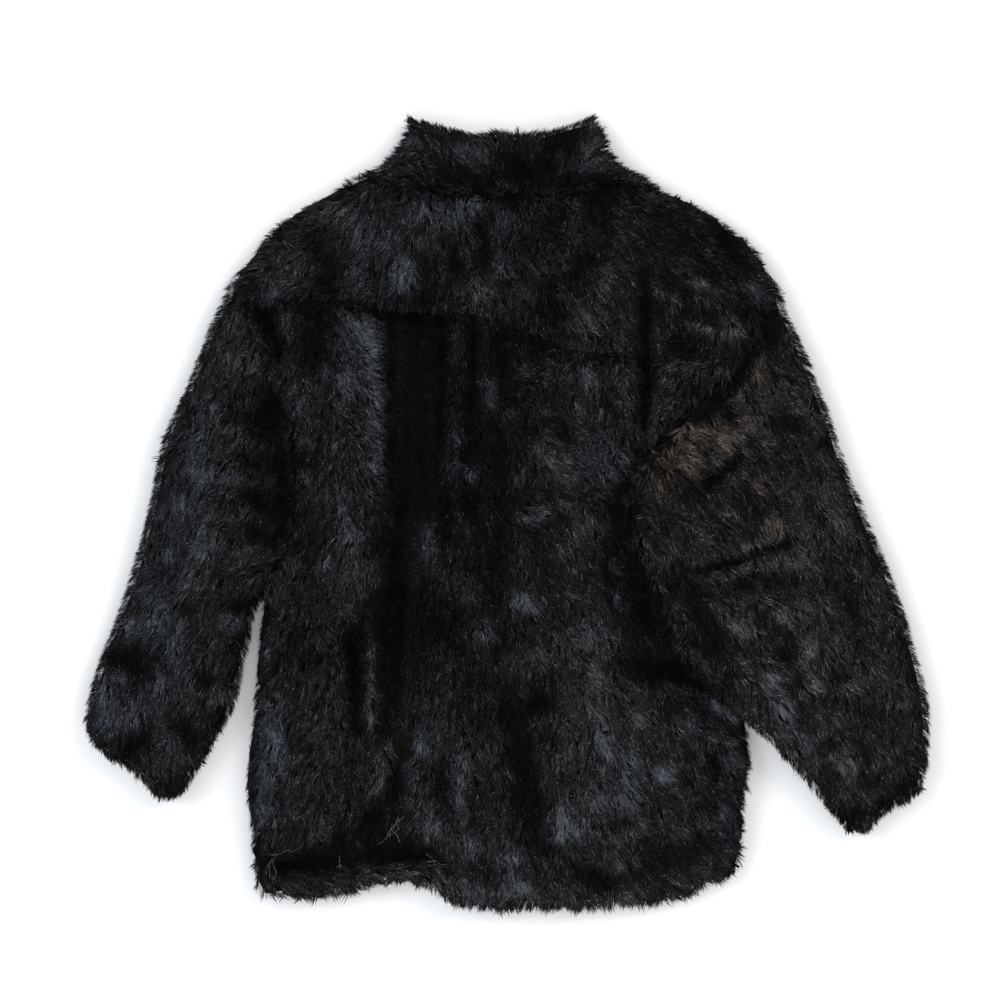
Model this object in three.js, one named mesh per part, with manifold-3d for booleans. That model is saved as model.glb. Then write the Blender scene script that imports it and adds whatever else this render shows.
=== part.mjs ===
// A faux fur coat that lies face down on a flat surface, in millimetres.
// Seen from above with the collar at the top, +X is to the right, +Y runs from hem to collar, +Z is up
// and the surface is Z = 0. The coat lies in two layers. The fronts and the lower halves of the sleeves
// and collar are underneath, and the back, the yoke and the upper halves lie on them. Every piece is as
// thick as its cloth and its pile together. The right sleeve's underarm lies over the side of the back.
import Module from "manifold-3d";
import * as THREE from "three";
import { mergeVertices } from "three/addons/utils/BufferGeometryUtils.js";

// ---------- Thicknesses and clearances ----------
const LOWER = 14; // cloth and crushed pile of the layer underneath
const UPPER = 24; // cloth and standing pile of the layer on top
const THINNEST = 7; // of the upper layer, in the bottom of its deepest fold
const SEAM_GAP = 0.3; // from a piece's edge to its seam line
const LAYER_GAP = 0.3; // between the two layers
const PRESSED = 12; // the upper layer's thickness under the right sleeve
const RIDING_GAP = 1.3; // between the back and the sleeve that lies on it
const SLEEVE_CRUSH = 0.24; // share of its thickness that the sleeve loses where it lies on the body
const FRONT_OPENING = { x: -5, width: 2 };
const SLEEVE_DENT = { outside: 34, inside: 4, fullUpTo: 88, goneAt: 122 }; // where a sleeve presses the back
const SLEEVE_DROP = { width: 85, startsAt: 96, downAt: 175 }; // where the sleeve comes down to the surface

// ---------- How a piece ends ----------
// share is what is left of its thickness at the edge, and reach is how far in it rounds over.
const FOLD = () => ({ share: 0.07, reach: 20 });
const SEAM = () => ({ share: 0.7, reach: 16 });
const UNDER_YOKE = () => ({ share: 0.5, reach: 18 });
const OVERHANG = () => ({ share: 0.85, reach: 8 });
const OPEN = () => ({ share: 0.45, reach: 15 });
const ROUND_STEPS = [0, 1.8, 7.5, 20]; // distances from a rounded edge to its first lines of points
const ROUNDING = ROUND_STEPS.length - 1; // lines of points from a rounded edge to full thickness
const UNDERCUT = 2; // lines of points from an open edge to its underside

// ---------- Outlines, each row a place along the edge ----------
const LEFT_SHOULDER = [
  { at: "shoulder point", x: -308, y: 272 },
  { at: "over the arm", x: -287, y: 304 },
  { at: "highest of the round", x: -271, y: 327 },
  { at: "middle", x: -236, y: 350 },
  { at: "inner third", x: -196, y: 373 },
  { at: "neck", x: -162, y: 387 },
];
const RIGHT_SHOULDER = [
  { at: "neck", x: 154, y: 384 },
  { at: "inner third", x: 179, y: 373 },
  { at: "middle", x: 228, y: 350 },
  { at: "highest of the round", x: 262, y: 327 },
  { at: "over the arm", x: 288, y: 304 },
  { at: "shoulder point", x: 303, y: 266 },
];
const NECK_SEAM = [
  { at: "left", x: -162, y: 387 },
  { at: "left quarter", x: -100, y: 373 },
  { at: "centre back", x: -2, y: 365 },
  { at: "right quarter", x: 96, y: 372 },
  { at: "right", x: 154, y: 384 },
];
const COLLAR_TOP = [
  { at: "left corner", x: -109, y: 454 },
  { at: "left quarter", x: -76, y: 447 },
  { at: "left of the dip", x: -42, y: 438 },
  { at: "centre back", x: -4, y: 433 },
  { at: "right of the dip", x: 34, y: 438 },
  { at: "right quarter", x: 67, y: 448 },
  { at: "right corner", x: 98, y: 456 },
];
const COLLAR_LEFT = [
  { at: "neck", x: -162, y: 387 },
  { at: "lower third", x: -140, y: 404 },
  { at: "middle", x: -125, y: 419 },
  { at: "upper third", x: -114, y: 440 },
  { at: "corner", x: -109, y: 454 },
];
const COLLAR_RIGHT = [
  { at: "neck", x: 154, y: 384 },
  { at: "lower third", x: 133, y: 398 },
  { at: "middle", x: 118, y: 419 },
  { at: "upper third", x: 107, y: 442 },
  { at: "corner", x: 98, y: 456 },
];
const YOKE_SEAM = [
  { at: "left armhole", x: -291, y: 249 },
  { at: "left gathers begin", x: -186, y: 250 },
  { at: "over the deep fold", x: -140, y: 241 },
  { at: "centre back", x: -45, y: 236 },
  { at: "right gathers", x: 20, y: 217 },
  { at: "dragged down", x: 71, y: 197 },
  { at: "right folds", x: 155, y: 187 },
  { at: "right armhole", x: 272, y: 187 },
];
const LEFT_ARMHOLE_YOKE = [
  { at: "shoulder point", x: -308, y: 272 },
  { at: "middle", x: -300, y: 260 },
  { at: "yoke seam", x: -291, y: 249 },
];
const LEFT_ARMHOLE_BACK = [
  { at: "yoke seam", x: -291, y: 249 },
  { at: "upper curve", x: -266, y: 212 },
  { at: "chest", x: -248, y: 137 },
  { at: "upper straight", x: -243, y: 62 },
  { at: "lower straight", x: -243, y: 4 },
  { at: "start of the lower curve", x: -245, y: -22 },
  { at: "lower curve", x: -253, y: -46 },
  { at: "end of the lower curve", x: -265, y: -65 },
  { at: "underarm", x: -279, y: -79 },
];
const RIGHT_ARMHOLE_YOKE = [
  { at: "shoulder point", x: 303, y: 266 },
  { at: "middle", x: 292, y: 226 },
  { at: "yoke seam", x: 272, y: 187 },
];
const RIGHT_ARMHOLE_BACK = [
  { at: "yoke seam", x: 272, y: 187 },
  { at: "middle", x: 232, y: 137 },
  { at: "where the sleeve folds over", x: 190, y: 92 },
];
const RIGHT_ARMHOLE_FOLDED = [
  { at: "where the sleeve folds over", x: 190, y: 92 },
  { at: "middle", x: 165, y: 67 },
  { at: "gathered point", x: 127, y: 28 },
];
const LEFT_SIDE = [
  { at: "underarm", x: -279, y: -79 },
  { at: "just below the underarm", x: -275, y: -92 },
  { at: "top of the side seam", x: -282, y: -122 },
  { at: "waist", x: -286, y: -165 },
  { at: "high hip", x: -292, y: -240 },
  { at: "fullest", x: -299, y: -312 },
  { at: "hip", x: -293, y: -363 },
  { at: "hem band", x: -292, y: -405 },
  { at: "hem corner", x: -278, y: -434 },
];
const RIGHT_SIDE = [
  { at: "where the sleeve folds over", x: 190, y: 92 },
  { at: "under the sleeve", x: 173, y: 50 },
  { at: "deepest under the sleeve", x: 178, y: 5 },
  { at: "above the underarm", x: 200, y: -40 },
  { at: "underarm", x: 236, y: -85 },
  { at: "waist", x: 256, y: -156 },
  { at: "where the sleeve leaves the body", x: 274, y: -240 },
  { at: "high hip", x: 279, y: -282 },
  { at: "hip", x: 273, y: -322 },
  { at: "hem band", x: 271, y: -370 },
  { at: "hem corner", x: 262, y: -407 },
];
const HEM = [
  { at: "left corner", x: -278, y: -434 },
  { at: "left droop", x: -238, y: -441 },
  { at: "left rise", x: -186, y: -435 },
  { at: "left of the deep fold", x: -151, y: -426 },
  { at: "highest, at the deep fold", x: -120, y: -420 },
  { at: "right of the deep fold", x: -88, y: -430 },
  { at: "centre left", x: -48, y: -447 },
  { at: "centre", x: 38, y: -451 },
  { at: "centre right", x: 130, y: -447 },
  { at: "right rise", x: 200, y: -437 },
  { at: "right corner", x: 262, y: -407 },
];
const LEFT_SLEEVE_OUTER = [
  { at: "shoulder point", x: -308, y: 272 },
  { at: "sleeve head", x: -333, y: 235 },
  { at: "upper arm", x: -370, y: 143 },
  { at: "above the elbow", x: -395, y: 88 },
  { at: "elbow", x: -412, y: 5 },
  { at: "forearm", x: -438, y: -87 },
  { at: "above the cuff", x: -470, y: -172 },
  { at: "cuff", x: -485, y: -231 },
];
const LEFT_SLEEVE_INNER = [
  { at: "underarm", x: -280, y: -78 },
  { at: "just below the underarm", x: -285, y: -96 },
  { at: "forearm", x: -292, y: -133 },
  { at: "above the cuff", x: -307, y: -202 },
  { at: "turn to the cuff", x: -316, y: -232 },
  { at: "hollow", x: -342, y: -272 },
  { at: "cuff", x: -371, y: -322 },
];
const LEFT_CUFF = [
  { at: "inner corner", x: -371, y: -322 },
  { at: "hanging corner", x: -398, y: -322 },
  { at: "middle", x: -432, y: -293 },
  { at: "outer third", x: -468, y: -270 },
  { at: "outer corner", x: -485, y: -231 },
];
const RIGHT_SLEEVE_OUTER = [
  { at: "shoulder point", x: 303, y: 266 },
  { at: "sleeve head", x: 333, y: 212 },
  { at: "upper arm", x: 370, y: 120 },
  { at: "above the elbow", x: 394, y: 51 },
  { at: "elbow", x: 417, y: -5 },
  { at: "below the elbow", x: 441, y: -64 },
  { at: "forearm", x: 472, y: -156 },
  { at: "above the cuff", x: 487, y: -232 },
  { at: "cuff", x: 480, y: -316 },
];
const RIGHT_SLEEVE_INNER = [
  { at: "gathered point", x: 127, y: 28 },
  { at: "upper fold", x: 153, y: -52 },
  { at: "middle of the fold", x: 190, y: -150 },
  { at: "lower fold", x: 222, y: -190 },
  { at: "where the sleeve leaves the body", x: 274, y: -239 },
  { at: "forearm", x: 332, y: -294 },
  { at: "cuff", x: 389, y: -365 },
];
const RIGHT_CUFF = [
  { at: "inner corner", x: 389, y: -365 },
  { at: "inner third", x: 414, y: -361 },
  { at: "middle", x: 442, y: -338 },
  { at: "outer corner", x: 480, y: -316 },
];

// ---------- Folds, each row a straight run from (x0, y0) to (x1, y1) ----------
// left and right are its soft widths on either side of the run, and rise is its height, negative in a trough.
const BODY_FOLDS = [
  { fold: "deep valley, upper", x0: -111, y0: -52, x1: -104, y1: 226, left: 20, right: 32, rise: -17 },
  { fold: "deep valley, lower", x0: -120, y0: -365, x1: -112, y1: -75, left: 10, right: 16, rise: -13 },
  { fold: "valley's left bank", x0: -168, y0: -40, x1: -160, y1: 220, left: 34, right: 20, rise: 7 },
  { fold: "strip by the valley", x0: -155, y0: -210, x1: -150, y1: -100, left: 12, right: 12, rise: 6 },
  { fold: "left swell", x0: -214, y0: -330, x1: -214, y1: -140, left: 36, right: 36, rise: 6 },
  { fold: "left hollow", x0: -226, y0: -75, x1: -222, y1: 150, left: 15, right: 15, rise: -6 },
  { fold: "centre valley, upper", x0: 14, y0: -251, x1: -2, y1: -144, left: 13, right: 13, rise: -8 },
  { fold: "centre valley, lower", x0: 34, y0: -370, x1: 14, y1: -251, left: 11, right: 13, rise: -8 },
  { fold: "right swell", x0: 150, y0: -345, x1: 92, y1: -222, left: 40, right: 34, rise: 8 },
  { fold: "centre swell", x0: -52, y0: -330, x1: -60, y1: -150, left: 26, right: 26, rise: 6 },
  { fold: "drag towards the side", x0: 136, y0: -152, x1: 200, y1: -166, left: 15, right: 22, rise: -8 },
  { fold: "drag at the side", x0: 200, y0: -166, x1: 262, y1: -232, left: 15, right: 24, rise: -8 },
  { fold: "hollow by the sleeve", x0: 158, y0: 92, x1: 155, y1: 240, left: 9, right: 9, rise: -8 },
  { fold: "ridge by the sleeve", x0: 132, y0: 60, x1: 128, y1: 200, left: 16, right: 12, rise: 4 },
  { fold: "pull to the gathered point", x0: 60, y0: 34, x1: 118, y1: 26, left: 12, right: 12, rise: -7 },
  { fold: "side swell", x0: 226, y0: -330, x1: 236, y1: -260, left: 16, right: 16, rise: 6 },
  { fold: "hem stitching, left", x0: -276, y0: -392, x1: -88, y1: -387, left: 12, right: 11, rise: -11 },
  { fold: "hem stitching, centre left", x0: -88, y0: -387, x1: -8, y1: -407, left: 9, right: 9, rise: -10 },
  { fold: "hem stitching, centre", x0: -8, y0: -407, x1: 94, y1: -420, left: 8, right: 8, rise: -8 },
  { fold: "hem stitching, centre right", x0: 94, y0: -420, x1: 173, y1: -408, left: 8, right: 8, rise: -8 },
  { fold: "hem stitching, right", x0: 173, y0: -408, x1: 264, y1: -384, left: 8, right: 8, rise: -8 },
];
const YOKE_FOLDS = [
  { fold: "hollow by the neck", x0: -16, y0: 270, x1: -12, y1: 335, left: 12, right: 14, rise: -6 },
  { fold: "left hollow", x0: -205, y0: 262, x1: -190, y1: 310, left: 24, right: 24, rise: -6 },
  { fold: "left swell", x0: -120, y0: 268, x1: -96, y1: 330, left: 34, right: 34, rise: 6 },
  { fold: "right swell", x0: 60, y0: 250, x1: 96, y1: 300, left: 34, right: 34, rise: 6 },
  { fold: "hollow by the sleeve", x0: 158, y0: 92, x1: 155, y1: 240, left: 9, right: 9, rise: -8 },
  { fold: "crease to the armhole", x0: 205, y0: 218, x1: 262, y1: 238, left: 8, right: 8, rise: -6 },
];
const GATHERS = [
  { x: -137, foot: 60 },
  { x: -73, foot: -20 },
  { x: -42, foot: 10 },
  { x: -8, foot: -45 },
  { x: 27, foot: 40 },
  { x: 56, foot: 90 },
];
const GATHER = { width: 8, rise: -6, start: 14 };
const RIPPLES = { count: 9, x: 76, top: 140, pitch: 32, slope: 9, width: 8, rise: -5 };
const RIPPLE_REACHES = [24, 17, 24]; // half of the length of each ripple in turn
const LEFT_SLEEVE_FOLDS = [
  { fold: "trough beside the armhole", x0: -268, y0: -40, x1: -266, y1: 160, left: 16, right: 10, rise: -8 },
  { fold: "upper swell", x0: -330, y0: -20, x1: -306, y1: 130, left: 34, right: 24, rise: 7 },
  { fold: "dent above the cuff", x0: -450, y0: -152, x1: -412, y1: -170, left: 15, right: 15, rise: -8 },
  { fold: "elbow hollow", x0: -386, y0: -60, x1: -360, y1: -10, left: 18, right: 18, rise: -4 },
  { fold: "inner swell", x0: -350, y0: -200, x1: -330, y1: -110, left: 24, right: 20, rise: 4 },
  { fold: "cuff crease", x0: -440, y0: -258, x1: -366, y1: -236, left: 10, right: 10, rise: -6 },
];
const RIGHT_SLEEVE_FOLDS = [
  { fold: "upper swell", x0: 205, y0: 50, x1: 262, y1: 92, left: 34, right: 34, rise: 7 },
  { fold: "pull, upper", x0: 150, y0: 28, x1: 262, y1: 140, left: 9, right: 9, rise: -8 },
  { fold: "pull, lower", x0: 150, y0: 2, x1: 190, y1: 30, left: 8, right: 8, rise: -6 },
  { fold: "hollow under the sleeve head", x0: 262, y0: 140, x1: 300, y1: 192, left: 16, right: 16, rise: -7 },
  { fold: "elbow crease", x0: 200, y0: -66, x1: 325, y1: -33, left: 8, right: 9, rise: -8 },
  { fold: "elbow crease, short", x0: 262, y0: -8, x1: 318, y1: 12, left: 8, right: 8, rise: -4 },
  { fold: "forearm crease", x0: 266, y0: -146, x1: 312, y1: -120, left: 9, right: 9, rise: -6 },
  { fold: "underarm hollow", x0: 205, y0: -150, x1: 252, y1: -196, left: 12, right: 12, rise: -6 },
  { fold: "outer hollow", x0: 396, y0: -150, x1: 372, y1: -60, left: 18, right: 18, rise: -4 },
  { fold: "cuff crease", x0: 396, y0: -318, x1: 470, y1: -262, left: 10, right: 10, rise: -6 },
];
const COLLAR_FOLDS = [
  { fold: "hollow at the centre", x0: 6, y0: 384, x1: 12, y1: 420, left: 20, right: 26, rise: -6 },
  { fold: "left drag", x0: -100, y0: 398, x1: -54, y1: 386, left: 14, right: 14, rise: -4 },
  { fold: "right drag", x0: 62, y0: 392, x1: 80, y1: 424, left: 12, right: 12, rise: -4 },
];

// ---------- Edges: a point for each share of the length from start to end ----------
const { clamp, lerp, smoothstep } = THREE.MathUtils;

function line(rows) {
  const spline = new THREE.SplineCurve(rows.map(({ x, y }) => new THREE.Vector2(x, y)));
  return { at: (share) => spline.getPointAt(share), length: spline.getLength() };
}

function turned({ at, length }) {
  return { at: (share) => at(1 - share), length };
}

function joined(...edges) {
  const length = edges.reduce((sum, edge) => sum + edge.length, 0);
  function at(share) {
    let along = share * length;
    for (const edge of edges.slice(0, -1)) {
      if (along < edge.length) return edge.at(along / edge.length);
      along -= edge.length;
    }
    return edges.at(-1).at(clamp(along / edges.at(-1).length, 0, 1));
  }
  return { at, length };
}

/** Half of an edge, from its start to where it crosses the front opening or from there to its end. */
function halfOf(edge, side) {
  const stop = FRONT_OPENING.x + (side * FRONT_OPENING.width) / 2;
  let [low, high] = [0, 1];
  while (high - low > 1e-6) {
    const middle = (low + high) / 2;
    if (edge.at(middle).x < stop) low = middle;
    else high = middle;
  }
  if (side < 0) return { at: (share) => edge.at(share * low), length: edge.length * low };
  return { at: (share) => edge.at(lerp(low, 1, share)), length: edge.length * (1 - low) };
}

/** An ending that changes from one kind to another at a share of the edge's length. */
function endsAs(first, second, where) {
  const blend = 0.02; // the share before and after it over which the ending changes
  return (share) => {
    const change = smoothstep(share, where - blend, where + blend);
    const [a, b] = [first(share), second(share)];
    return { share: lerp(a.share, b.share, change), reach: lerp(a.reach, b.reach, change) };
  };
}

const leftShoulder = line(LEFT_SHOULDER);
const rightShoulder = line(RIGHT_SHOULDER);
const neckSeam = line(NECK_SEAM);
const yokeSeam = line(YOKE_SEAM);
const hem = line(HEM);
const leftArmholeYoke = line(LEFT_ARMHOLE_YOKE);
const leftArmholeBack = line(LEFT_ARMHOLE_BACK);
const rightArmholeYoke = line(RIGHT_ARMHOLE_YOKE);
const rightArmholeBack = line(RIGHT_ARMHOLE_BACK);
const leftSide = line(LEFT_SIDE);
const rightSide = line(RIGHT_SIDE);

// ---------- Patches: rows of points between four edges ----------
/** Shares of a length: even steps, closer ones at an end that rounds over, and one at each corner. */
function stations(length, { steps, closeStart = true, closeEnd = true, corners = [] }) {
  const near = (closeStart ? ROUND_STEPS : [0]).map((distance) => distance / length);
  const far = (closeEnd ? ROUND_STEPS : [0]).map((distance) => 1 - distance / length).reverse();
  const marks = [near.at(-1), ...corners, far[0]];
  const between = [];
  for (let i = 1; i < marks.length; i++) {
    const share = (marks[i] - marks[i - 1]) / (far[0] - near.at(-1));
    const count = Math.round(steps * share);
    for (let n = 1; n <= count; n++) between.push(lerp(marks[i - 1], marks[i], n / count));
  }
  return [...near, ...between.slice(0, -1), ...far];
}

/** How far an edge bows out from the straight line between its ends. */
function bow(edge, share) {
  return edge.at(share).sub(new THREE.Vector2().lerpVectors(edge.at(0), edge.at(1), share));
}

/**
 * Points between a left, right, bottom and top edge. Left and right run up, bottom and top to the right.
 * The rows lose the bow of the bottom edge on the way up. If freeCorner is set, they lose it sooner the
 * nearer they are to the bottom left corner, which lets that corner be hollow.
 */
function patch({ left, right, bottom, top, across, along, ends, freeCorner = false }) {
  const height = (left.length + right.length) / 2;
  const rows = stations(height, along);
  return rows.map((v) => {
    const [start, end] = [left.at(v), right.at(v)];
    const width = start.distanceTo(end);
    return stations(width, across).map((u) => {
      const depth = bottom.at(u).distanceTo(top.at(u));
      const lost = freeCorner ? Math.min((v * depth) / (u * width + 1), 1) : v;
      const kept = freeCorner ? (1 - lost) ** 2 : 1 - lost;
      const place = new THREE.Vector2().lerpVectors(start, end, u);
      place.addScaledVector(bow(bottom, u), kept).addScaledVector(bow(top, u), v);
      const fullness =
        rounded(u * width, ends.left(v)) *
        rounded((1 - u) * width, ends.right(v)) *
        rounded(v * depth, ends.bottom(u)) *
        rounded((1 - v) * depth, ends.top(u));
      return { x: place.x, y: place.y, fullness };
    });
  });
}

/** The share of full thickness at a distance from an edge, on a quarter of an ellipse. */
function rounded(distance, { share, reach }) {
  const toGo = 1 - Math.min(distance / reach, 1);
  return share + (1 - share) * Math.sqrt(1 - toGo * toGo);
}

/** Moves a line of edge points squarely in from its seam line, to the side where the inner points are. */
function drawIn(points, inner) {
  const square = points.map((_, i) => {
    const [before, after] = [points[Math.max(i - 1, 0)], points[Math.min(i + 1, points.length - 1)]];
    return [before.y - after.y, after.x - before.x];
  });
  const middle = Math.floor(points.length / 2);
  const inwards = [inner[middle].x - points[middle].x, inner[middle].y - points[middle].y];
  const side = Math.sign(square[middle][0] * inwards[0] + square[middle][1] * inwards[1]);
  const moves = square.map(([x, y]) => {
    const step = (side * SEAM_GAP) / Math.hypot(x, y);
    return [x * step, y * step];
  });
  points.forEach((point, i) => {
    point.x += moves[i][0];
    point.y += moves[i][1];
  });
}

/** Draws a patch's outer points in from its seam lines. */
function drawnIn(grid) {
  const column = (i) => grid.map((row) => row.at(i));
  drawIn(column(0), column(1));
  drawIn(column(-1), column(-2));
  drawIn(grid[0], grid[1]);
  drawIn(grid.at(-1), grid.at(-2));
  return grid;
}

// ---------- Heights ----------
/** How far the folds of a table raise or lower the cloth at a place. */
function foldHeight(folds, x, y) {
  let height = 0;
  for (const { x0, y0, x1, y1, left, right, rise } of folds) {
    const [dx, dy] = [x1 - x0, y1 - y0];
    const along = clamp(((x - x0) * dx + (y - y0) * dy) / (dx * dx + dy * dy), 0, 1);
    const [offX, offY] = [x - x0 - dx * along, y - y0 - dy * along];
    const width = dx * offY - dy * offX > 0 ? left : right;
    height += rise * Math.exp(-(offX * offX + offY * offY) / (width * width));
  }
  return height;
}

/** Where an edge given by rows from high to low crosses the level y. */
function crossing(rows, y) {
  const below = clamp(rows.findIndex((row) => row.y <= y), 1, rows.length - 1);
  const [high, low] = [rows[below - 1], rows[below]];
  return lerp(high.x, low.x, clamp((high.y - y) / (high.y - low.y), 0, 1));
}

/** The y of an edge given by rows from left to right. */
function levelAt(rows, x) {
  const next = clamp(rows.findIndex((row) => row.x >= x), 1, rows.length - 1);
  const [from, to] = [rows[next - 1], rows[next]];
  return lerp(from.y, to.y, (x - from.x) / (to.x - from.x));
}

const SLEEVE_FOLD_LINE = [...RIGHT_ARMHOLE_FOLDED, ...RIGHT_SLEEVE_INNER.slice(1)];

/** From 0 clear of the right sleeve to 1 under it. */
function underSleeve(x, y) {
  const inside = x - crossing(SLEEVE_FOLD_LINE, y);
  const { outside, inside: full, fullUpTo, goneAt } = SLEEVE_DENT;
  return smoothstep(inside, -outside, -full) * (1 - smoothstep(y, fullUpTo, goneAt));
}

/** How far the right sleeve is lifted by the body under it. It comes down to the surface beside the body. */
function sleeveLift(x, y) {
  const beside = x - crossing(RIGHT_SIDE, y);
  const full = LOWER + LAYER_GAP / 2 + PRESSED + RIDING_GAP;
  const { width, startsAt, downAt } = SLEEVE_DROP;
  return full * (1 - smoothstep(beside, 0, width)) * (1 - smoothstep(y, startsAt, downAt));
}

const gathers = GATHERS.map(({ x, foot }) => ({
  x0: x,
  y0: foot,
  x1: x,
  y1: levelAt(YOKE_SEAM, x) - GATHER.start,
  left: GATHER.width,
  right: GATHER.width,
  rise: GATHER.rise,
}));
const ripples = Array.from({ length: RIPPLES.count }, (_, i) => {
  const y = RIPPLES.top - i * RIPPLES.pitch;
  const reach = RIPPLE_REACHES[i % RIPPLE_REACHES.length];
  return {
    x0: RIPPLES.x - reach,
    y0: y + RIPPLES.slope,
    x1: RIPPLES.x + reach,
    y1: y - RIPPLES.slope,
    left: RIPPLES.width,
    right: RIPPLES.width,
    rise: RIPPLES.rise,
  };
});

// ---------- Closed solids ----------
const corner = ({ x, y }, z) => new THREE.Vector3(x, y, z);

/** Adds a four-sided face, or the one triangle of it that isn't flat where two corners are the same. */
function face(triangles, a, b, c, d) {
  for (const triangle of [[a, b, c], [a, c, d]]) {
    const [p, q, r] = triangle;
    if (!p.equals(q) && !q.equals(r) && !r.equals(p)) triangles.push(triangle);
  }
}

function closedGeometry(triangles) {
  let volume = 0;
  for (const [a, b, c] of triangles) volume += a.dot(b.clone().cross(c));
  const outward = volume > 0 ? triangles : triangles.map(([a, b, c]) => [a, c, b]);
  return new THREE.BufferGeometry().setFromPoints(outward.flat());
}

/** The columns and rows of the points round a grid, in the given number of lines from each edge. */
function loopOf({ length: rows, 0: { length: columns } }, { left, right, bottom, top }) {
  const [low, high] = [bottom, rows - 1 - top];
  const [start, end] = [left, columns - 1 - right];
  const loop = [];
  for (let i = start; i < end; i++) loop.push([i, low]);
  for (let j = low; j < high; j++) loop.push([end, j]);
  for (let i = end; i > start; i--) loop.push([i, high]);
  for (let j = high; j > low; j--) loop.push([start, j]);
  return loop;
}

/** Adds a flat face inside a contour, turned the way the contour goes or the other way. */
function fill(triangles, contour, opposite) {
  const faces = THREE.ShapeUtils.triangulateShape(contour, []).map((face) => face.map((i) => contour[i]));
  const filled = faces.reduce((sum, corners) => sum + THREE.ShapeUtils.area(corners), 0);
  const sameTurn = filled * THREE.ShapeUtils.area(contour) > 0;
  triangles.push(...(sameTurn === opposite ? faces.map(([a, b, c]) => [a, c, b]) : faces));
}

/** Adds a grid's faces at place(column, row). Inside the lines of plain, if given, it is one flat face. */
function sheet(triangles, grid, place, plain, opposite = false) {
  const [lastRow, lastColumn] = [grid.length - 1, grid[0].length - 1];
  for (let j = 0; j < lastRow; j++) {
    for (let i = 0; i < lastColumn; i++) {
      const inRows = plain && j >= plain.bottom && j < lastRow - plain.top;
      if (inRows && i >= plain.left && i < lastColumn - plain.right) continue;
      const around = [place(i, j), place(i + 1, j), place(i + 1, j + 1), place(i, j + 1)];
      face(triangles, ...(opposite ? around.reverse() : around));
    }
  }
  if (plain) fill(triangles, loopOf(grid, plain).map(([i, j]) => place(i, j)), opposite);
}

/** A panel with one modelled side, at z(point), and one flat side, drawn in from its open edges. */
function panelGeometry(grid, { z, flatZ, open, plain }) {
  const lines = { left: 0, right: 0, bottom: 0, top: 0 };
  for (const edge of open) lines[edge] = UNDERCUT;
  const modelled = (i, j) => corner(grid[j][i], z(grid[j][i]));
  const flat = (i, j) => {
    const column = clamp(i, lines.left, grid[0].length - 1 - lines.right);
    const row = clamp(j, lines.bottom, grid.length - 1 - lines.top);
    return corner(grid[row][column], flatZ);
  };
  const triangles = [];
  sheet(triangles, grid, modelled, plain);
  const rim = loopOf(grid, { left: 0, right: 0, bottom: 0, top: 0 });
  rim.forEach((here, n) => {
    const next = rim[(n + 1) % rim.length];
    face(triangles, flat(...here), flat(...next), modelled(...next), modelled(...here));
  });
  fill(triangles, loopOf(grid, lines).map((place) => flat(...place)), true);
  return closedGeometry(triangles);
}

/** A tube pressed flat, with a narrow slit right through it between its two layers. */
function tubeGeometry(grid, heights, plain) {
  const [lastRow, lastColumn] = [grid.length - 1, grid[0].length - 1];
  const wall = ROUNDING; // the slit ends this many lines of points in from each folded edge
  const slitStep = 4; // the slit's faces take every fourth row
  const top = (i, j) => corner(grid[j][i], heights(grid[j][i]).top);
  const bottom = (i, j) => corner(grid[j][i], heights(grid[j][i]).bottom);
  const slit = (i, j, side) => {
    const column = clamp(i, wall, lastColumn - wall);
    const half = column === i && i > wall && i < lastColumn - wall ? LAYER_GAP / 2 : 0;
    return corner(grid[j][column], heights(grid[j][column]).middle + side * half);
  };
  const triangles = [];
  sheet(triangles, grid, top);
  sheet(triangles, grid, bottom, plain, true);
  for (let j = 0; j < lastRow; j += slitStep) {
    const next = Math.min(j + slitStep, lastRow);
    for (let i = wall; i < lastColumn - wall; i++) {
      face(triangles, slit(i, next, 1), slit(i + 1, next, 1), slit(i + 1, j, 1), slit(i, j, 1));
      face(triangles, slit(i, j, -1), slit(i + 1, j, -1), slit(i + 1, next, -1), slit(i, next, -1));
    }
  }
  for (let j = 0; j < lastRow; j++) {
    const m = lastColumn;
    face(triangles, bottom(0, j + 1), bottom(0, j), top(0, j), top(0, j + 1));
    face(triangles, bottom(m, j), bottom(m, j + 1), top(m, j + 1), top(m, j));
  }
  for (const j of [0, lastRow]) {
    const end = [];
    for (let i = 0; i < lastColumn; i++) {
      face(end, slit(i, j, 1), slit(i + 1, j, 1), top(i + 1, j), top(i, j));
      face(end, bottom(i, j), bottom(i + 1, j), slit(i + 1, j, -1), slit(i, j, -1));
    }
    const m = lastColumn;
    end.push([bottom(0, j), slit(0, j, 1), top(0, j)], [slit(m, j, 1), bottom(m, j), top(m, j)]);
    triangles.push(...(j === 0 ? end : end.map(([a, b, c]) => [a, c, b])));
  }
  return closedGeometry(triangles);
}

// ---------- Height rules of the two kinds of piece ----------
const upperFloor = LOWER + LAYER_GAP / 2;
const lowerCeiling = LOWER - LAYER_GAP / 2;

/** The top of an upper panel: full thickness and its folds, and pressed flat under the right sleeve. */
function upperTop(folds) {
  return ({ x, y, fullness }) => {
    const free = UPPER * fullness + foldHeight(folds, x, y) * fullness;
    const least = Math.min(THINNEST, UPPER * fullness);
    const pressed = PRESSED * fullness;
    return upperFloor + lerp(Math.max(free, least), pressed, underSleeve(x, y));
  };
}

const lowerBottom = ({ fullness }) => lowerCeiling * (1 - fullness);

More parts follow.
